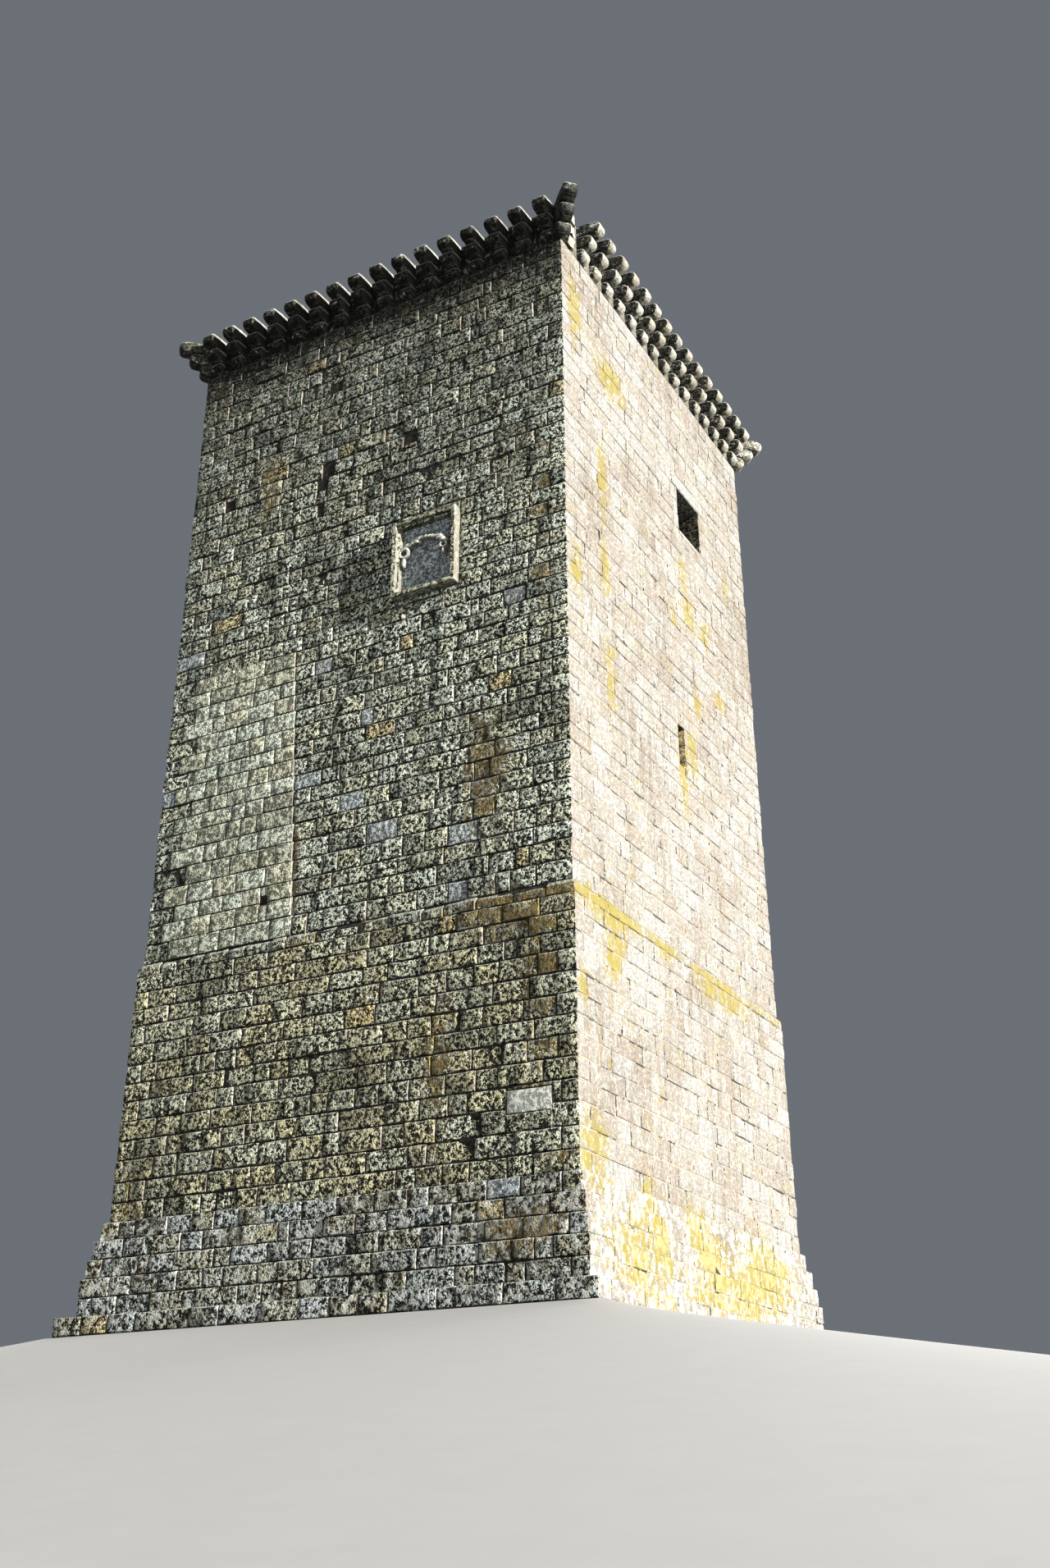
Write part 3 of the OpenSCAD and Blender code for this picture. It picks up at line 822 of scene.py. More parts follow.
# Palettes of the damp, shaded sides and of the dry, lit sides: a light, a buff and a dark. The lit ones are
# paler partly with bleaching and partly as painted light
SHADED_DAMP = ((0.345, 0.38, 0.32), (0.33, 0.34, 0.25), (0.045, 0.054, 0.043))
BASE_SHADED_DAMP = ((0.315, 0.33, 0.25), (0.30, 0.285, 0.175), (0.04, 0.042, 0.03))
PLINTH_SHADED_DAMP = ((0.25, 0.28, 0.28), (0.23, 0.22, 0.15), (0.03, 0.035, 0.03))
SHADED_DAMP_SMOOTH = ((0.44, 0.485, 0.40), (0.42, 0.42, 0.31), (0.18, 0.20, 0.16))
LIT_DRY = ((0.335, 0.33, 0.312), (0.30, 0.27, 0.238), (0.20, 0.165, 0.13))
CORBEL_SHADED_DAMP = ((0.24, 0.26, 0.23), (0.20, 0.20, 0.14), (0.05, 0.055, 0.045))
CORBEL_LIT_DRY = ((0.42, 0.41, 0.36), (0.36, 0.34, 0.27), (0.10, 0.10, 0.08))
CORBEL_LIT_PALE = ((0.47, 0.455, 0.395), (0.42, 0.385, 0.31), (0.18, 0.17, 0.13))
PAVING_LIT_DRY = ((0.40, 0.39, 0.34), (0.34, 0.32, 0.25), (0.10, 0.10, 0.08))
# The wall head between the corbels is near black, partly with dark growth and partly as painted shade
HEAD_PAINTED_SHADE_DAMP = ((0.09, 0.095, 0.08), (0.08, 0.08, 0.055), (0.025, 0.025, 0.02))
HEAD_PAINTED_SHADE_DRY = ((0.20, 0.19, 0.155), (0.18, 0.165, 0.12), (0.07, 0.07, 0.055))
PLAQUE_SHADED_DAMP = ((0.56, 0.58, 0.52), (0.52, 0.52, 0.45), (0.36, 0.37, 0.32))
# Reveals and lintels of the openings are darkened as painted shade of their recesses
REVEAL_PAINTED_SHADE_DAMP = ((0.075, 0.08, 0.055), (0.07, 0.065, 0.04), (0.015, 0.015, 0.012))
# The slit's reveals are ochre with lichen and brightened as painted sunlight
SLIT_OCHRE_PAINTED_SUN = ((0.85, 0.74, 0.52), (0.80, 0.62, 0.34), (0.55, 0.42, 0.22))
TABLET_SHADED_DAMP = ((0.30, 0.34, 0.36), (0.28, 0.30, 0.29), (0.09, 0.11, 0.12))
FRAME_SHADED_DAMP = ((0.31, 0.32, 0.25), (0.29, 0.27, 0.17), (0.08, 0.085, 0.06))
FRAME_LIT_DRY = ((0.29, 0.28, 0.235), (0.26, 0.235, 0.175), (0.12, 0.11, 0.085))
# The carving is pale partly with lichen crust and partly as painted sunlight on its raised parts
CARVING_PALE_PAINTED_SUN = ((0.62, 0.62, 0.54), (0.55, 0.52, 0.42), (0.25, 0.26, 0.22))

WALL_GRANITE = granite("wall_granite", SHADED_DAMP, LIT_DRY, stain=0.72)
BASE_GRANITE = granite("base_granite", BASE_SHADED_DAMP, LIT_DRY, stain=0.72)
PLINTH_GRANITE = granite("plinth_granite", PLINTH_SHADED_DAMP, LIT_DRY, stain=0.85, crust=1.0, spread=0.55)
REFACE_GRANITE = granite(
    "reface_granite", SHADED_DAMP_SMOOTH, LIT_DRY, stain=0.4, crust=0.2, relief=0.022, speckle=0.65
)
CORBEL_GRANITE = granite(
    "corbel_granite", CORBEL_SHADED_DAMP, CORBEL_LIT_DRY, stain=0.6, crust=0.5, gold=0.3, relief=0.03, painted_flank_shade=True
)
# Corbels of the lit right and back, pale partly with bleaching and partly as painted light
LIT_SIDE_CORBELS = granite(
    "lit_side_corbels", CORBEL_SHADED_DAMP, CORBEL_LIT_PALE, stain=0.7, crust=0.5, gold=0.3, relief=0.03, speckle=1.3
)
PLAQUE_GRANITE = granite(
    "plaque_granite", PLAQUE_SHADED_DAMP, LIT_DRY, stain=0.3, crust=0.2, gold=0.3, relief=0.006, speckle=0.35
)
HEAD_GRANITE = granite("head_granite", HEAD_PAINTED_SHADE_DAMP, HEAD_PAINTED_SHADE_DRY, stain=0.6, gold=0.3, relief=0.03)
REVEAL_GRANITE = granite("reveal_granite", REVEAL_PAINTED_SHADE_DAMP, LIT_DRY, stain=0.6, crust=0.2, relief=0.02)
SLIT_GRANITE = granite("slit_granite", SLIT_OCHRE_PAINTED_SUN, LIT_DRY, stain=0.2, crust=0.2, relief=0.02, speckle=0.4)
DRESSED_GRANITE = granite(
    "dressed_granite", SHADED_DAMP_SMOOTH, LIT_DRY, stain=0.4, crust=0.4, relief=0.016, speckle=0.6
)
PAVING_GRANITE = granite(
    "paving_granite", CORBEL_SHADED_DAMP, PAVING_LIT_DRY, stain=0.6, crust=0.5, gold=0.3, relief=0.03
)
TABLET_GRANITE = granite("tablet_granite", TABLET_SHADED_DAMP, LIT_DRY, stain=0.6, crust=0.4, relief=0.012, speckle=0.55)
RAIL_GRANITE = granite(
    "tablet_frame_granite", FRAME_SHADED_DAMP, FRAME_LIT_DRY, stain=0.45, crust=0.5, relief=0.015, speckle=0.85
)
CARVING_GRANITE = granite(
    "carving_granite", CARVING_PALE_PAINTED_SUN, LIT_DRY, stain=0.2, crust=0.6, relief=0.006, speckle=0.3
)
JOINT_MORTAR = mortar("joint_mortar")
INNER_RUBBLE = rubble("inner_rubble")
OAK = old_oak("old_oak")
CORBEL_FINISH = by_side(CORBEL_GRANITE, LIT_SIDE_CORBELS)


# Levels and openings that the courses follow

slit_lo, slit_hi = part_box("right_slit_piers")
window_lo, window_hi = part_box("right_window_piers")
lintel_lo, lintel_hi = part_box("window_lintel")
tablet_lo, tablet_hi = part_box("tablet_frame")
plaque_lo, plaque_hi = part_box("plaque_stone")
offset_lo, offset_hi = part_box("offset_front")
arch_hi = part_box("door_arch")[1]
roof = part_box("roof_paving")[1]
REFACE_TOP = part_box("front_refacing")[1].z
SLAB_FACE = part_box("tablet_slab")[0].y
OFFSET_OUT = BASE_HALF - HALF
OFFSET_H = offset_hi.z - offset_lo.z
OFFSET_SLOPE_H = 0.08
OFFSET_FLAT_H = OFFSET_H - OFFSET_SLOPE_H
CORNER_BLOCK = 0.5
SLIT_MIDDLE = 0.31
SLIT_W = 0.32
SLIT_SPLAY, SLIT_DEEP = 0.26, 1.9
SILL_RISE, SILL_RUN, SILL_STEPS = 0.78, 0.6, 4
WINDOW_W = 1.10
WINDOW_SPLAY, WINDOW_DEEP = 0.12, 1.7
WINDOW_MIDDLE = (lintel_lo.y + lintel_hi.y) / 2
WINDOW_HOLE = (WINDOW_MIDDLE - WINDOW_W / 2, WINDOW_MIDDLE + WINDOW_W / 2, window_lo.z, window_hi.z)
LINTEL_HOLE = (lintel_lo.y, lintel_hi.y, lintel_lo.z, lintel_hi.z)
SLIT_HOLE = (SLIT_MIDDLE - SLIT_W / 2, SLIT_MIDDLE + SLIT_W / 2, slit_lo.z, slit_hi.z)
LEFT_SLIT_HOLE = (-SLIT_HOLE[1], -SLIT_HOLE[0], slit_lo.z, slit_hi.z)
TABLET_HOLE = (tablet_lo.x, tablet_hi.x, tablet_lo.z, tablet_hi.z)
PLAQUE_HOLE = (plaque_lo.x, plaque_hi.x, plaque_lo.z, plaque_hi.z)
ARCH_IN, ARCH_OUT, VOUSSOIRS = 0.5, arch_hi.x, 11
ARCH_Z = arch_hi.z - ARCH_OUT
DOOR_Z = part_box("door_jambs")[0].z
DOOR_DEEP = 2.1
DOOR_PROUD = 0.045
RIM_W, STEP_W = 0.085, 0.045
RIM_OUT = -HALF - tablet_lo.y
STEP_OUT = RIM_OUT - 0.07
SHIELD_T = 0.05
# Stones that have crumbled out of the front, and one putlog hole
LOST_STONES = [
    (-1.06, -0.78, 15.52, 15.8), (-1.17, -0.92, 15.08, 15.52), (-1.13, -0.97, 14.62, 15.08),
    (-1.0, -0.7, 17.5, 17.78), (0.82, 1.12, 15.6, 15.9),
    (-3.45, -3.2, 15.5, 15.74), (-1.78, -1.62, 6.84, 7.0),
]
SEAM_FOOT_X, SEAM_TOP_X = -1.06, -1.39
# Single stones of the front that stand out by their colour
FRONT_MARKS = (
    (-0.65, 9.04, "slate"), (0.17, 8.51, "slate"), (0.41, 7.85, "slate"), (0.73, 7.6, "slate"),
    (-2.26, 16.1, "ochre"), (-3.36, 12.87, "ochre"), (-1.24, 7.33, "ochre"), (3.44, 6.6, "ochre"),
)
# Lichen: middle and reach on each side, in x, y and z
FAR = 99.0
RIGHT_LICHEN = [
    ((4.3, y, z), (FAR, a, b))
    for y, z, a, b in (
        (-2.8, 14.6, 0.2, 0.9), (-2.8, 12.6, 0.22, 0.6), (-2.7, 10.4, 0.25, 0.7), (-3.9, 12.0, 0.25, 0.5),
        (-3.8, 17.8, 0.3, 0.9), (-2.3, 17.2, 0.8, 0.5), (0.8, 14.5, 0.25, 0.5), (1.0, 13.6, 0.35, 0.4),
        (1.8, 13.5, 0.25, 0.4), (0.2, 13.1, 0.2, 0.25), (3.1, 15.3, 0.18, 0.35), (0.3, 9.8, 0.25, 1.0),
        (0.8, 10.4, 0.3, 0.5), (1.2, 11.6, 0.25, 0.3), (2.35, 12.3, 0.3, 0.25), (-3.2, 6.02, 1.1, 0.22),
        (-3.0, 5.4, 0.4, 0.6), (-1.0, 5.9, 0.4, 0.2), (1.3, 5.8, 1.2, 0.25), (-4.1, 4.5, 0.2, 0.3),
        (-3.9, 2.2, 0.5, 0.6), (-2.1, 1.4, 0.3, 0.7), (-0.3, 1.4, 0.7, 0.6), (2.3, 1.2, 1.4, 0.6),
        (0.4, 0.6, 1.8, 0.6), (-3.0, 0.8, 1.0, 0.8),
    )
]
FRONT_LICHEN = [
    ((x, -4.3, z), (a, FAR, b))
    for x, z, a, b in (
        (3.4, 5.9, 1.3, 0.45), (3.9, 4.4, 0.5, 1.4), (-1.15, 7.4, 0.2, 0.9), (2.0, 13.9, 0.5, 0.15),
        (-2.3, 15.6, 0.25, 0.8), (2.7, 8.4, 0.5, 1.2), (3.9, 12.5, 0.3, 2.5), (-3.4, 6.3, 0.8, 0.3),
        (1.9, 3.6, 0.3, 1.2), (3.6, 1.0, 0.8, 0.4),
    )
]


def seam_x(z):
    """Where the straight joint of the refacing runs at a height."""
    return SEAM_FOOT_X + (SEAM_TOP_X - SEAM_FOOT_X) * (z - SHAFT_FOOT) / (REFACE_TOP - SHAFT_FOOT)


def plinth_distance(z):
    """Distance of the plinth's face from the middle at a height, read off the CAD solid."""
    hit, where, _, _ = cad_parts["plinth_front"].ray_cast(Vector((0.3, -20, z)), Vector((0, 1, 0)))
    return -where.y if hit else BASE_HALF


KIND_H = 0.3
KIND_LENGTHS = (0.26, 0.38, 0.52, 0.7, 0.9)
QUOIN_CELL = 0.12
ROUGH_KINDS = walling_stones(KIND_LENGTHS, 5, 0, cell=0.1, rough=0.011, arris=0.026)
WALL_KINDS = walling_stones(KIND_LENGTHS, 4, 60, cell=0.15, rough=0.006, arris=0.02)
FOOTING_KINDS = walling_stones(KIND_LENGTHS, 2, 150, cell=0.12, rough=0.011, arris=0.03, back=FOOTING_BACK)
REVEAL_KINDS = walling_stones((0.35, 0.5, 0.7), 2, 180, cell=0.2, rough=0.004, arris=0.016)
SMOOTH_KINDS = walling_stones((0.38, 0.55, 0.75), 3, 110, cell=0.15, rough=0.004, arris=0.02)
QUOIN_KINDS = [quoin(a, b, seed + i)
               for a, b, seed in ((0.65, 0.32, 120), (0.32, 0.65, 130)) for i in range(4)]
FACE_KINDS = by_side(ROUGH_KINDS, WALL_KINDS)

plinth_lines = even_lines(0, PLINTH_TOP, PLINTH_COURSES)
base_lines = course_lines([PLINTH_TOP, BASE_TOP])
shaft_lines = course_lines(
    [SHAFT_FOOT, slit_lo.z, slit_hi.z, REFACE_TOP, window_lo.z, window_hi.z, SHAFT_TOP]
)


def doorway_holes():
    """The doorway with its arch stones, course by course."""
    holes = []
    for low, high in pairwise(shaft_lines):
        over = max(0, (low + high) / 2 - ARCH_Z)
        if high > DOOR_Z + 0.04 and over < ARCH_OUT:
            reach = math.sqrt(ARCH_OUT ** 2 - over ** 2) - 0.02
            holes.append((-reach, reach, max(low, DOOR_Z), high))
    return holes


HOLES = {
    "front": [TABLET_HOLE, PLAQUE_HOLE, *LOST_STONES],
    "right": [SLIT_HOLE, WINDOW_HOLE, LINTEL_HOLE],
    "back": doorway_holes(),
    "left": [LEFT_SLIT_HOLE],
}
LICHEN = {"front": FRONT_LICHEN, "right": RIGHT_LICHEN}


def lay_stage(stage, lines, distance_at, material):
    """Lays all four faces of one stage of the tower, with its corner stones."""
    piles = {name: [] for name in FACES}
    below = {name: () for name in FACES}
    quoins, reface = [], []
    mean = MEAN_STONE if stage == "shaft" else LONG_STONE
    for i, (z0, z1) in enumerate(pairwise(lines)):
        distance = distance_at((z0 + z1) / 2)
        if stage == "plinth":
            z0, z1 = z0 + LEDGE_LIFT, z1 + LEDGE_LIFT
        corners = [corner_sizes(i + k) for k in range(4)]
        for k, name in enumerate(FACES):
            quoins.append(set_quoin(*corners[k], z0, z1, k, distance))
            x0 = -distance + corners[k - 1][1]
            x1 = distance - corners[k][0]
            if stage == "shaft" and name == "front" and z1 < REFACE_TOP + 0.01:
                seam = seam_x((z0 + z1) / 2)
                lay_course(reface, SMOOTH_KINDS, x0, seam, z0, z1, face_matrix(k, distance + REFACE_PROUD),
                           HOLES[name], mean=REFACE_STONE, marks="plain")
                x0 = seam
            kinds = FOOTING_KINDS if stage == "plinth" and i == 0 else FACE_KINDS[name]
            below[name] = lay_course(
                piles[name], kinds, x0, x1, z0, z1, face_matrix(k, distance), HOLES[name], below[name],
                name, mean, FRONT_MARKS if name == "front" else (),
            )
    for name in FACES:
        piece = join(f"{name}_{stage}_stones", piles[name], material)
        spread_growth(piece, LICHEN.get(name, ()))
    spread_growth(join(f"{stage}_quoins", quoins, material), RIGHT_LICHEN)
    if reface:
        join("front_refacing_stones", reface, REFACE_GRANITE)


lay_stage("plinth", plinth_lines, plinth_distance, PLINTH_GRANITE)
lay_stage("base", base_lines, lambda z: BASE_HALF, BASE_GRANITE)
lay_stage("shaft", shaft_lines, lambda z: HALF, WALL_GRANITE)


# Offset course

OFFSET_WEAR = by_side((0.72, 0.84, 0.9, 0.95, 1.0, 1.0), (1.0, 1.03))
OFFSET_SINK = by_side(0.022, 0.002)
# Lichen that grows on the offset's slope
OFFSET_LICHEN = RIGHT_LICHEN[15:19] + FRONT_LICHEN[:1]


def lay_offset():
    stones = []
    kinds = [offset_stone(length, 200 + i) for i, length in enumerate((0.3, 0.4, 0.5, 0.6, 0.75, 0.45, 0.6))]
    corner = offset_corner(210)
    for k, name in enumerate(FACES):
        half = BASE_HALF - CORNER_BLOCK
        for p, q in pairwise(upright_joints(-half, half, OFFSET_STONE)):
            kind = min(kinds, key=lambda c: abs(c.size[0] - (q - p)) + rng.random() * 0.1)
            shape = sized((q - p - JOINT) / kind.size[0], 1, rng.choice(OFFSET_WEAR[name]))
            back = rng.uniform(-0.010, OFFSET_SINK[name]) - PROUD[name]
            lean = leaning((rng.gauss(0, 0.02), rng.gauss(0, 0.01), rng.gauss(0, 0.02)))
            place = face_matrix(k, BASE_HALF) @ shift((p + q) / 2, back, BASE_TOP)
            stones.append(kind.copy(place @ lean @ shape, random_mix()))
        here, beyond = PROUD[name], PROUD[FACES[(k + 1) % 4]]
        at = shift(BASE_HALF + beyond, -BASE_HALF - here, BASE_TOP)
        stones.append(corner.copy(quarter_turns(k) @ at, random_mix()))
    piece = join("offset_course_stones", stones, WALL_GRANITE)
    spread_growth(piece, OFFSET_LICHEN)


lay_offset()


# Corbels

DIAGONAL_TAIL = 0.06
STUB_OUT, STUB_STEP = 0.07, 0.02
CORBEL_STRAY_X, CORBEL_STRAY_Y = 0.006, 0.012


def lay_corbels():
    tiers = range(len(TIER_OUT))
    straight = {t: [corbel_stone(TIER_OUT[t], TAIL, 300 + 10 * t + i) for i in range(4)] for t in tiers}
    short = {t: [corbel_stone(TIER_OUT[t], CORNER_ROOT - TIER_JOINT, 340 + 10 * t)] for t in tiers}
    corner = {
        t: [corbel_stone(TIER_OUT[t] * CORNER_SPREAD, DIAGONAL_TAIL, 370 + 10 * t + i) for i in range(2)]
        for t in tiers
    }
    stubs = {t: [corbel_stub(STUB_OUT + STUB_STEP * t, CORNER_ROOT, 400 + t)] for t in tiers}
    for k, name in enumerate(FACES):
        stones = []
        sideways = name in ("right", "left")
        for i in range(STACKS):
            for t in tiers:
                kinds = short[t] if sideways and i in (0, STACKS - 1) else straight[t]
                if name == "right" and i == 0:
                    kinds = stubs[t]
                kind = rng.choice(kinds)
                x = stack_x(i) + rng.uniform(-CORBEL_STRAY_X, CORBEL_STRAY_X)
                at = shift(x, rng.uniform(-CORBEL_STRAY_Y, CORBEL_STRAY_Y), tier_z(t))
                stones.append(kind.copy(face_matrix(k, HALF) @ at, random_mix("plain")))
        if not sideways:
            for at_end in (0, 1):
                diagonal = turned("Z", math.radians(90 * (k + at_end) - 45))
                for t in tiers:
                    at = shift(0, -HALF * math.sqrt(2), tier_z(t))
                    stones.append(rng.choice(corner[t]).copy(diagonal @ at, random_mix("plain")))
        join(f"{name}_corbel_stones", stones, CORBEL_FINISH[name], [f"{name}_corbels"])


lay_corbels()


# Openings: their reveals, sills and surrounds

LYING = Matrix(((1, 0, 0, 0), (0, 0, 1, 0), (0, -1, 0, 0), (0, 0, 0, 1)))


def lines_within(low, high):
    return [low] + [z for z in shaft_lines if low + 0.08 < z < high - 0.08] + [high]


def lay_reveal(pile, k, x, side, splay, deep, low, high):
    """Lays the side of an opening: side is 1 for the edge at its +x end and -1 for the other."""
    length = math.hypot(splay, deep)
    if side > 0:
        begin, turn, ends = (x + splay, deep, 0), math.atan2(-deep, -splay), (0, length + 0.01)
    else:
        begin, turn, ends = (x, 0, 0), math.atan2(deep, -splay), (-0.01, length)
    place = face_matrix(k, HALF) @ shift(*begin) @ turned("Z", turn)
    below = ()
    for z0, z1 in pairwise(lines_within(low, high)):
        below = lay_course(pile, REVEAL_KINDS, *ends, z0, z1, place, (), below, mean=REVEAL_STONE)


SILL_BEDS = (-0.02, 0.5, 1.1, 1.68)
LINTEL_MIX = (0.1, 0.2, 0.1)


def lay_window():
    stones = []
    x0, x1, low, high = WINDOW_HOLE
    for x, side in ((x0, -1), (x1, 1)):
        lay_reveal(stones, 1, x, side, WINDOW_SPLAY, WINDOW_DEEP, low, high)
    join("window_reveal_stones", stones, REVEAL_GRANITE)
    face = face_matrix(1, HALF)
    sill = face @ shift(0, 0, low) @ LYING
    slabs = [set_stone(SMOOTH_KINDS, x0 + 0.02, x1 - 0.02, z0, z1, 0.006, sill, tilt=0.002)
             for z0, z1 in pairwise(SILL_BEDS)]
    slabs.append(set_stone(SMOOTH_KINDS, *LINTEL_HOLE, 0.018, face, LINTEL_MIX, tilt=0.003))
    spread_growth(join("window_sill_and_lintel", slabs, WALL_GRANITE), RIGHT_LICHEN)


def lay_slits():
    rise, run = SILL_RISE / SILL_STEPS, SILL_RUN / SILL_STEPS
    for name, k in (("right", 1), ("left", 3)):
        stones = []
        x0, x1, low, high = HOLES[name][0]
        for x, side in ((x0, -1), (x1, 1)):
            lay_reveal(stones, k, x, side, SLIT_SPLAY, SLIT_DEEP, low, high)
        for i in range(SILL_STEPS):
            back = rng.uniform(-0.02, 0.02) - 0.015 - i * run
            z = low + i * rise
            mix = (rng.random(), rng.random(), 0.9)
            ends = (x0 + 0.012, x1 - 0.012)
            stones.append(set_stone(FOOTING_KINDS, *ends, z, z + rise, back, face_matrix(k, HALF), mix))
        spread_growth(join(f"{name}_slit_stones", stones, SLIT_GRANITE), RIGHT_LICHEN)


def lay_doorway():
    face = face_matrix(2, HALF)
    wedges = [voussoir(500 + i) for i in range(3)]
    stones = []
    for i in range(VOUSSOIRS):
        turn = turned("Y", math.pi * ((i + 0.5) / VOUSSOIRS - 0.5))
        out = shift(0, -DOOR_PROUD + rng.uniform(-0.005, 0.005), ARCH_Z)
        middle = shift(0, 0, (ARCH_IN + ARCH_OUT) / 2)
        stones.append(wedges[i % 3].copy(face @ out @ turn @ middle, random_mix("plain")))
    for z0, z1 in pairwise(even_lines(DOOR_Z, ARCH_Z, 4)):
        for ends in ((-ARCH_OUT, -ARCH_IN), (ARCH_IN, ARCH_OUT)):
            stones.append(set_stone(REVEAL_KINDS, *ends, z0, z1, DOOR_PROUD, face, tilt=0.003))
    sill = face @ shift(0, 0, DOOR_Z) @ LYING
    stones.append(set_stone(SMOOTH_KINDS, -ARCH_IN, ARCH_IN, -0.04, 0.42, 0.004, sill, tilt=0.002))
    join("doorway_surround_stones", stones, DRESSED_GRANITE)
    stones = []
    for side in (-1, 1):
        lay_reveal(stones, 2, side * ARCH_IN, side, 0.0, DOOR_DEEP, DOOR_Z, ARCH_Z)
    join("doorway_reveal_stones", stones, REVEAL_GRANITE)


lay_window()
lay_slits()
lay_doorway()


# The framed tablet

RAIL_MIX = (0.2, 0.3, 0.3)
SHIELD_MIX = (0.0, 0.1, 0.0)
CARVING_MIX = (0.0, 0.0, 0.1)
SHIELD_W, SHIELD_H = 0.50, 0.62
SHIELD_PLACE = (0.03, 0.005, -0.12)
# Each ring's place along, out of and up the slab, and its size
RINGS = ((-0.46, 0.075, 0.13, 1.4), (0.41, 0.13, 0.04, 0.95))
DROP_BELOW_RING = 0.14
# The garland's bow: where it begins, how far it runs, falls and rises, and how it comes forward
GARLAND_X, GARLAND_Z = -0.42, 0.23
GARLAND_RUN, GARLAND_FALL, GARLAND_RISE = 0.86, 0.09, 0.14
GARLAND_OUT, GARLAND_FORWARD = 0.065, 0.075
GARLAND_LEAVES = 13
LEAF_TURN = (0.9, 2.1)
LEAF_SIZE = (0.7, 1.25)
LEAF_STRAY = 0.025


def make_tablet():
    middle_x, middle_z = (tablet_lo.x + tablet_hi.x) / 2, (tablet_lo.z + tablet_hi.z) / 2
    wide, tall = tablet_hi.x - tablet_lo.x, tablet_hi.z - tablet_lo.z
    rails = []
    for turn, length, x, z in (
        (0, wide, middle_x, tablet_lo.z), (180, wide, middle_x, tablet_hi.z),
        (90, tall, tablet_lo.x, middle_z), (-90, tall, tablet_hi.x, middle_z),
    ):
        place = shift(x, -HALF, z) @ turned("Y", math.radians(turn))
        rails.append(frame_rail(length, 600 + turn).copy(place, RAIL_MIX))
    piece = join("tablet_frame_rails", rails, RAIL_GRANITE, ["tablet_frame"])
    spread_growth(piece, FRONT_LICHEN)
    origin = shift(middle_x, SLAB_FACE, middle_z)
    blank = shield(SHIELD_W, SHIELD_H, 620).copy(origin @ shift(*SHIELD_PLACE), SHIELD_MIX)
    join("tablet_shield", [blank], TABLET_GRANITE)
    carving = []
    ring = ring_boss(621)
    drop = leaf_lump(622, (0.7, 0.7, 1.5))
    for x, out, z, size in RINGS:
        for kind, low in ((ring, 0.0), (drop, DROP_BELOW_RING)):
            at = shift(x, -out, z - low * size) @ sized(size, size, size)
            carving.append(kind.copy(origin @ at, CARVING_MIX))
    leaves = [leaf_lump(630 + i) for i in range(5)]
    for i in range(GARLAND_LEAVES):
        along = (i + 0.5) / GARLAND_LEAVES
        x = GARLAND_RUN * along + GARLAND_X
        z = GARLAND_Z - GARLAND_FALL * along + GARLAND_RISE * math.sin(math.pi * along)
        turn = turned("Y", rng.uniform(*LEAF_TURN))
        size = rng.uniform(*LEAF_SIZE)
        at = shift(x, -GARLAND_OUT - GARLAND_FORWARD * along, z + rng.uniform(-LEAF_STRAY, LEAF_STRAY))
        carving.append(leaves[i % 5].copy(origin @ at @ turn @ sized(size, size, size), CARVING_MIX))
    join("tablet_carving", carving, CARVING_GRANITE, ["tablet_relief"])


make_tablet()


PLAQUE_MIX = (0.1, 0.2, 0.0)
PLAQUE_PROUD = 0.03


def lay_plaque():
    place = face_matrix(0, BASE_HALF)
    slab = set_stone(SMOOTH_KINDS, *PLAQUE_HOLE, PLAQUE_PROUD, place, PLAQUE_MIX, tilt=0.002)
    join("plaque_slab", [slab], PLAQUE_GRANITE, ["plaque_stone"])


lay_plaque()


# Wall head: stones between the corbels, flagstones on top and the rim's inner face


def lay_wall_head():
    stones = []
    for k in range(4):
        for i in range(STACKS - 1):
            x = stack_x(i) + CORBEL_W / 2
            for t in range(len(TIER_OUT)):
                ends = (x, x + PITCH - CORBEL_W, tier_z(t), tier_z(t) + TIER_H)
                stones.append(set_stone(WALL_KINDS, *ends, 0.012, face_matrix(k, HALF)))
    join("wall_head_face_stones", stones, HEAD_GRANITE)


FLAG_PROUD = (0.014, 0.022)


def lay_flags():
    flags = []
    for level, x0, x1, y0, y1 in (
        (CROWN_TOP, -HALF, HALF, -HALF, -roof.y),
        (CROWN_TOP, -HALF, HALF, roof.y, HALF),
        (CROWN_TOP, -HALF, -roof.x, -roof.y, roof.y),
        (CROWN_TOP, roof.x, HALF, -roof.y, roof.y),
        (roof.z, -roof.x, roof.x, -roof.y, roof.y),
    ):
        place = shift(0, 0, level) @ LYING
        joints = ()
        for a, b in pairwise(even_lines(y0, y1, max(1, round((y1 - y0) / FLAG_WIDTH)))):
            joints = upright_joints(x0, x1, FLAG_LENGTH, joints)
            for p, q in pairwise(joints):
                proud = rng.uniform(*FLAG_PROUD)
                flags.append(set_stone(SMOOTH_KINDS, p, q, a, b, proud, place, tilt=0.003))
    join("roof_flagstones", flags, PAVING_GRANITE)


def lay_parapet():
    stones = []
    beds = even_lines(roof.z, CROWN_TOP, max(1, round((CROWN_TOP - roof.z) / COURSE)))
    for k in range(4):
        reach, distance = (roof.x, roof.y) if k % 2 == 0 else (roof.y, roof.x)
        below = ()
        for z0, z1 in pairwise(beds):
            place = face_matrix(k, -distance)
            below = lay_course(stones, WALL_KINDS, -reach, reach, z0, z1, place, (), below)
    join("parapet_inner_stones", stones, PAVING_GRANITE)


lay_wall_head()
lay_flags()
lay_parapet()


# CAD nodes that stay: each gets its material


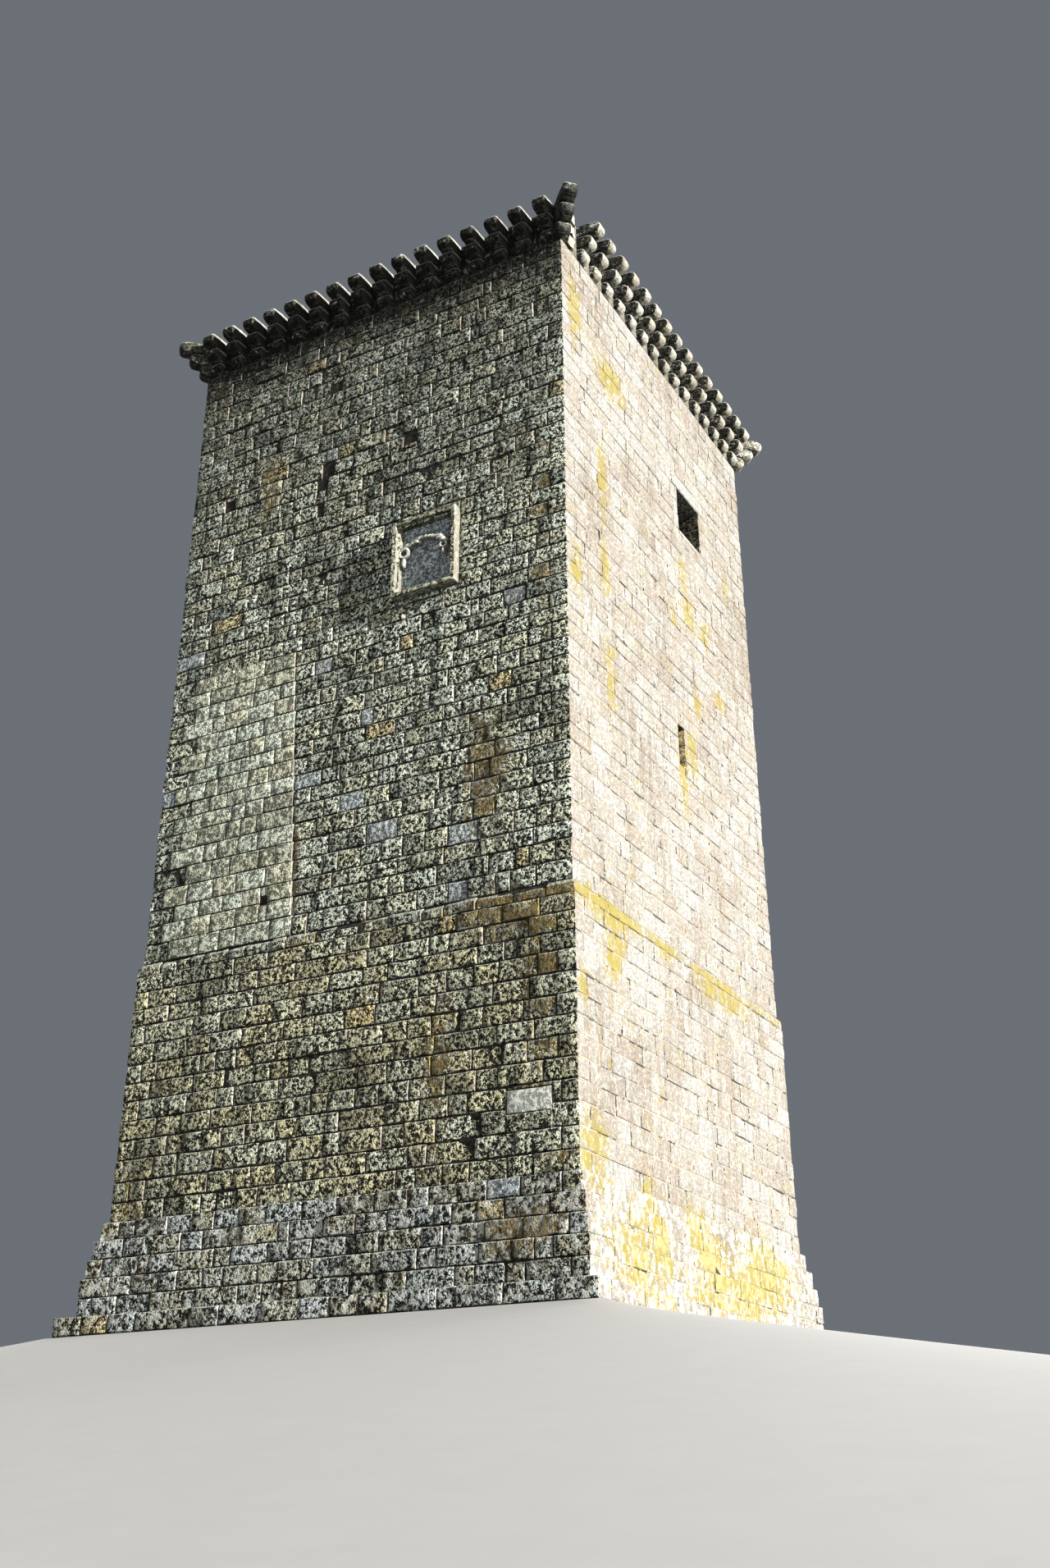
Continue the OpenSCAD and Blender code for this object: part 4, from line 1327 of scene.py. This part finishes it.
def dress_nodes():
    finishes = {
        "tablet_slab": TABLET_GRANITE, "window_lintel": REVEAL_GRANITE, "slit_sills": DRESSED_GRANITE,
        "door_jambs": DRESSED_GRANITE, "door_arch": DRESSED_GRANITE, "floor_beams": OAK,
        "entrance_floor": OAK, "upper_floor": OAK, "roof_paving": PAVING_GRANITE,
        "right_slit_piers": INNER_RUBBLE, "left_slit_piers": INNER_RUBBLE, "right_window_piers": INNER_RUBBLE,
    }
    for name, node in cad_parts.items():
        node.data.materials.clear()
        node.data.materials.append(finishes.get(name, JOINT_MORTAR))


dress_nodes()


# Stage, light and camera

FLOOR_DROP, FLOOR_REACH, SLOPE_REACH = 4.8, 300, 30
LEVEL_MARGIN = 0.58
FLOOR_GREY, FLOOR_PALE = (0.50, 0.495, 0.48), (0.54, 0.535, 0.52)
SUN_COLOUR = (1.0, 0.97, 0.92)
SKY_COLOUR = (0.80, 0.88, 1.0, 1)
SKY_STRENGTH = 0.185


def make_floor():
    """A pale floor, level under the keep and falling away gently on all sides."""
    level = BASE_HALF + LEVEL_MARGIN
    o = start("floor", bpy.ops.mesh.primitive_plane_add, size=2 * FLOOR_REACH, location=(0, 0, -FLOOR_DROP))
    pick(o, faces=lambda f: True)
    edit(o, inset(FLOOR_REACH - SLOPE_REACH), inset(SLOPE_REACH - level), move(0, 0, FLOOR_DROP))
    pick(o, faces=lambda f: 0.3 < abs(f.center.x) + abs(f.center.y) < SLOPE_REACH + 10)
    edit(o, subdivide(20))
    reach = SLOPE_REACH - 0.1
    pick(o, edges=lambda a, b: all(level + 0.05 < max(abs(v.x), abs(v.y)) < reach for v in (a, b)))
    edit(o, lambda: bpy.ops.mesh.vertices_smooth(factor=0.5, repeat=40))
    bpy.ops.object.shade_smooth()
    paint = Paint("pale_floor", 0.85)
    colour = paint.mix(paint.noise(3, 2.0, 0.5), FLOOR_GREY, FLOOR_PALE)
    o.data.materials.append(paint.use(colour))


def add_sun(name, strength, softness, direction, colour=(1.0, 1.0, 1.0)):
    """A far light: softness is its width in degrees, and direction points to where it stands."""
    light = bpy.data.lights.new(name, "SUN")
    light.energy = strength
    light.angle = math.radians(softness)
    light.color = colour
    o = bpy.data.objects.new(name, light)
    o.rotation_euler = Vector(direction).to_track_quat("Z", "Y").to_euler()
    scene.collection.objects.link(o)


def make_lights():
    add_sun("key_light", 8.6, 2, (0.952, -0.140, 0.273), SUN_COLOUR)
    add_sun("back_light", 1.8, 40, (-0.15, 0.90, 0.40))
    add_sun("left_light", 0.8, 30, (-0.88, 0.40, 0.30))
    world = bpy.data.worlds.new("soft_surround")
    world.use_nodes = True
    background = world.node_tree.nodes["Background"]
    background.inputs["Color"].default_value = SKY_COLOUR
    background.inputs["Strength"].default_value = SKY_STRENGTH
    scene.world = world


make_floor()
make_lights()

# The photograph's camera, from the keep's edges: its place, aim and lens
CAMERA_PLACE = (14.7475, -24.6425, -2.7949)
CAMERA_YAW, CAMERA_PITCH = 0.5150, 0.4771
FOCAL_PIXELS = 1947.8
PHOTO_W, PHOTO_H = 1280, 1911
AIM_X, AIM_Y = 626.0, 868.4
SENSOR = 36


def make_camera():
    camera = bpy.data.cameras.new("photo_camera")
    camera.sensor_width = SENSOR
    camera.lens = SENSOR * FOCAL_PIXELS / PHOTO_H
    camera.shift_x = (PHOTO_W / 2 - AIM_X) / PHOTO_H
    camera.shift_y = (AIM_Y - PHOTO_H / 2) / PHOTO_H
    camera.clip_end = 1000
    o = bpy.data.objects.new("photo_camera", camera)
    o.location = CAMERA_PLACE
    o.rotation_euler = (math.pi / 2 + CAMERA_PITCH, 0, CAMERA_YAW)
    scene.collection.objects.link(o)
    scene.camera = o


make_camera()
scene.view_settings.view_transform = "Standard"
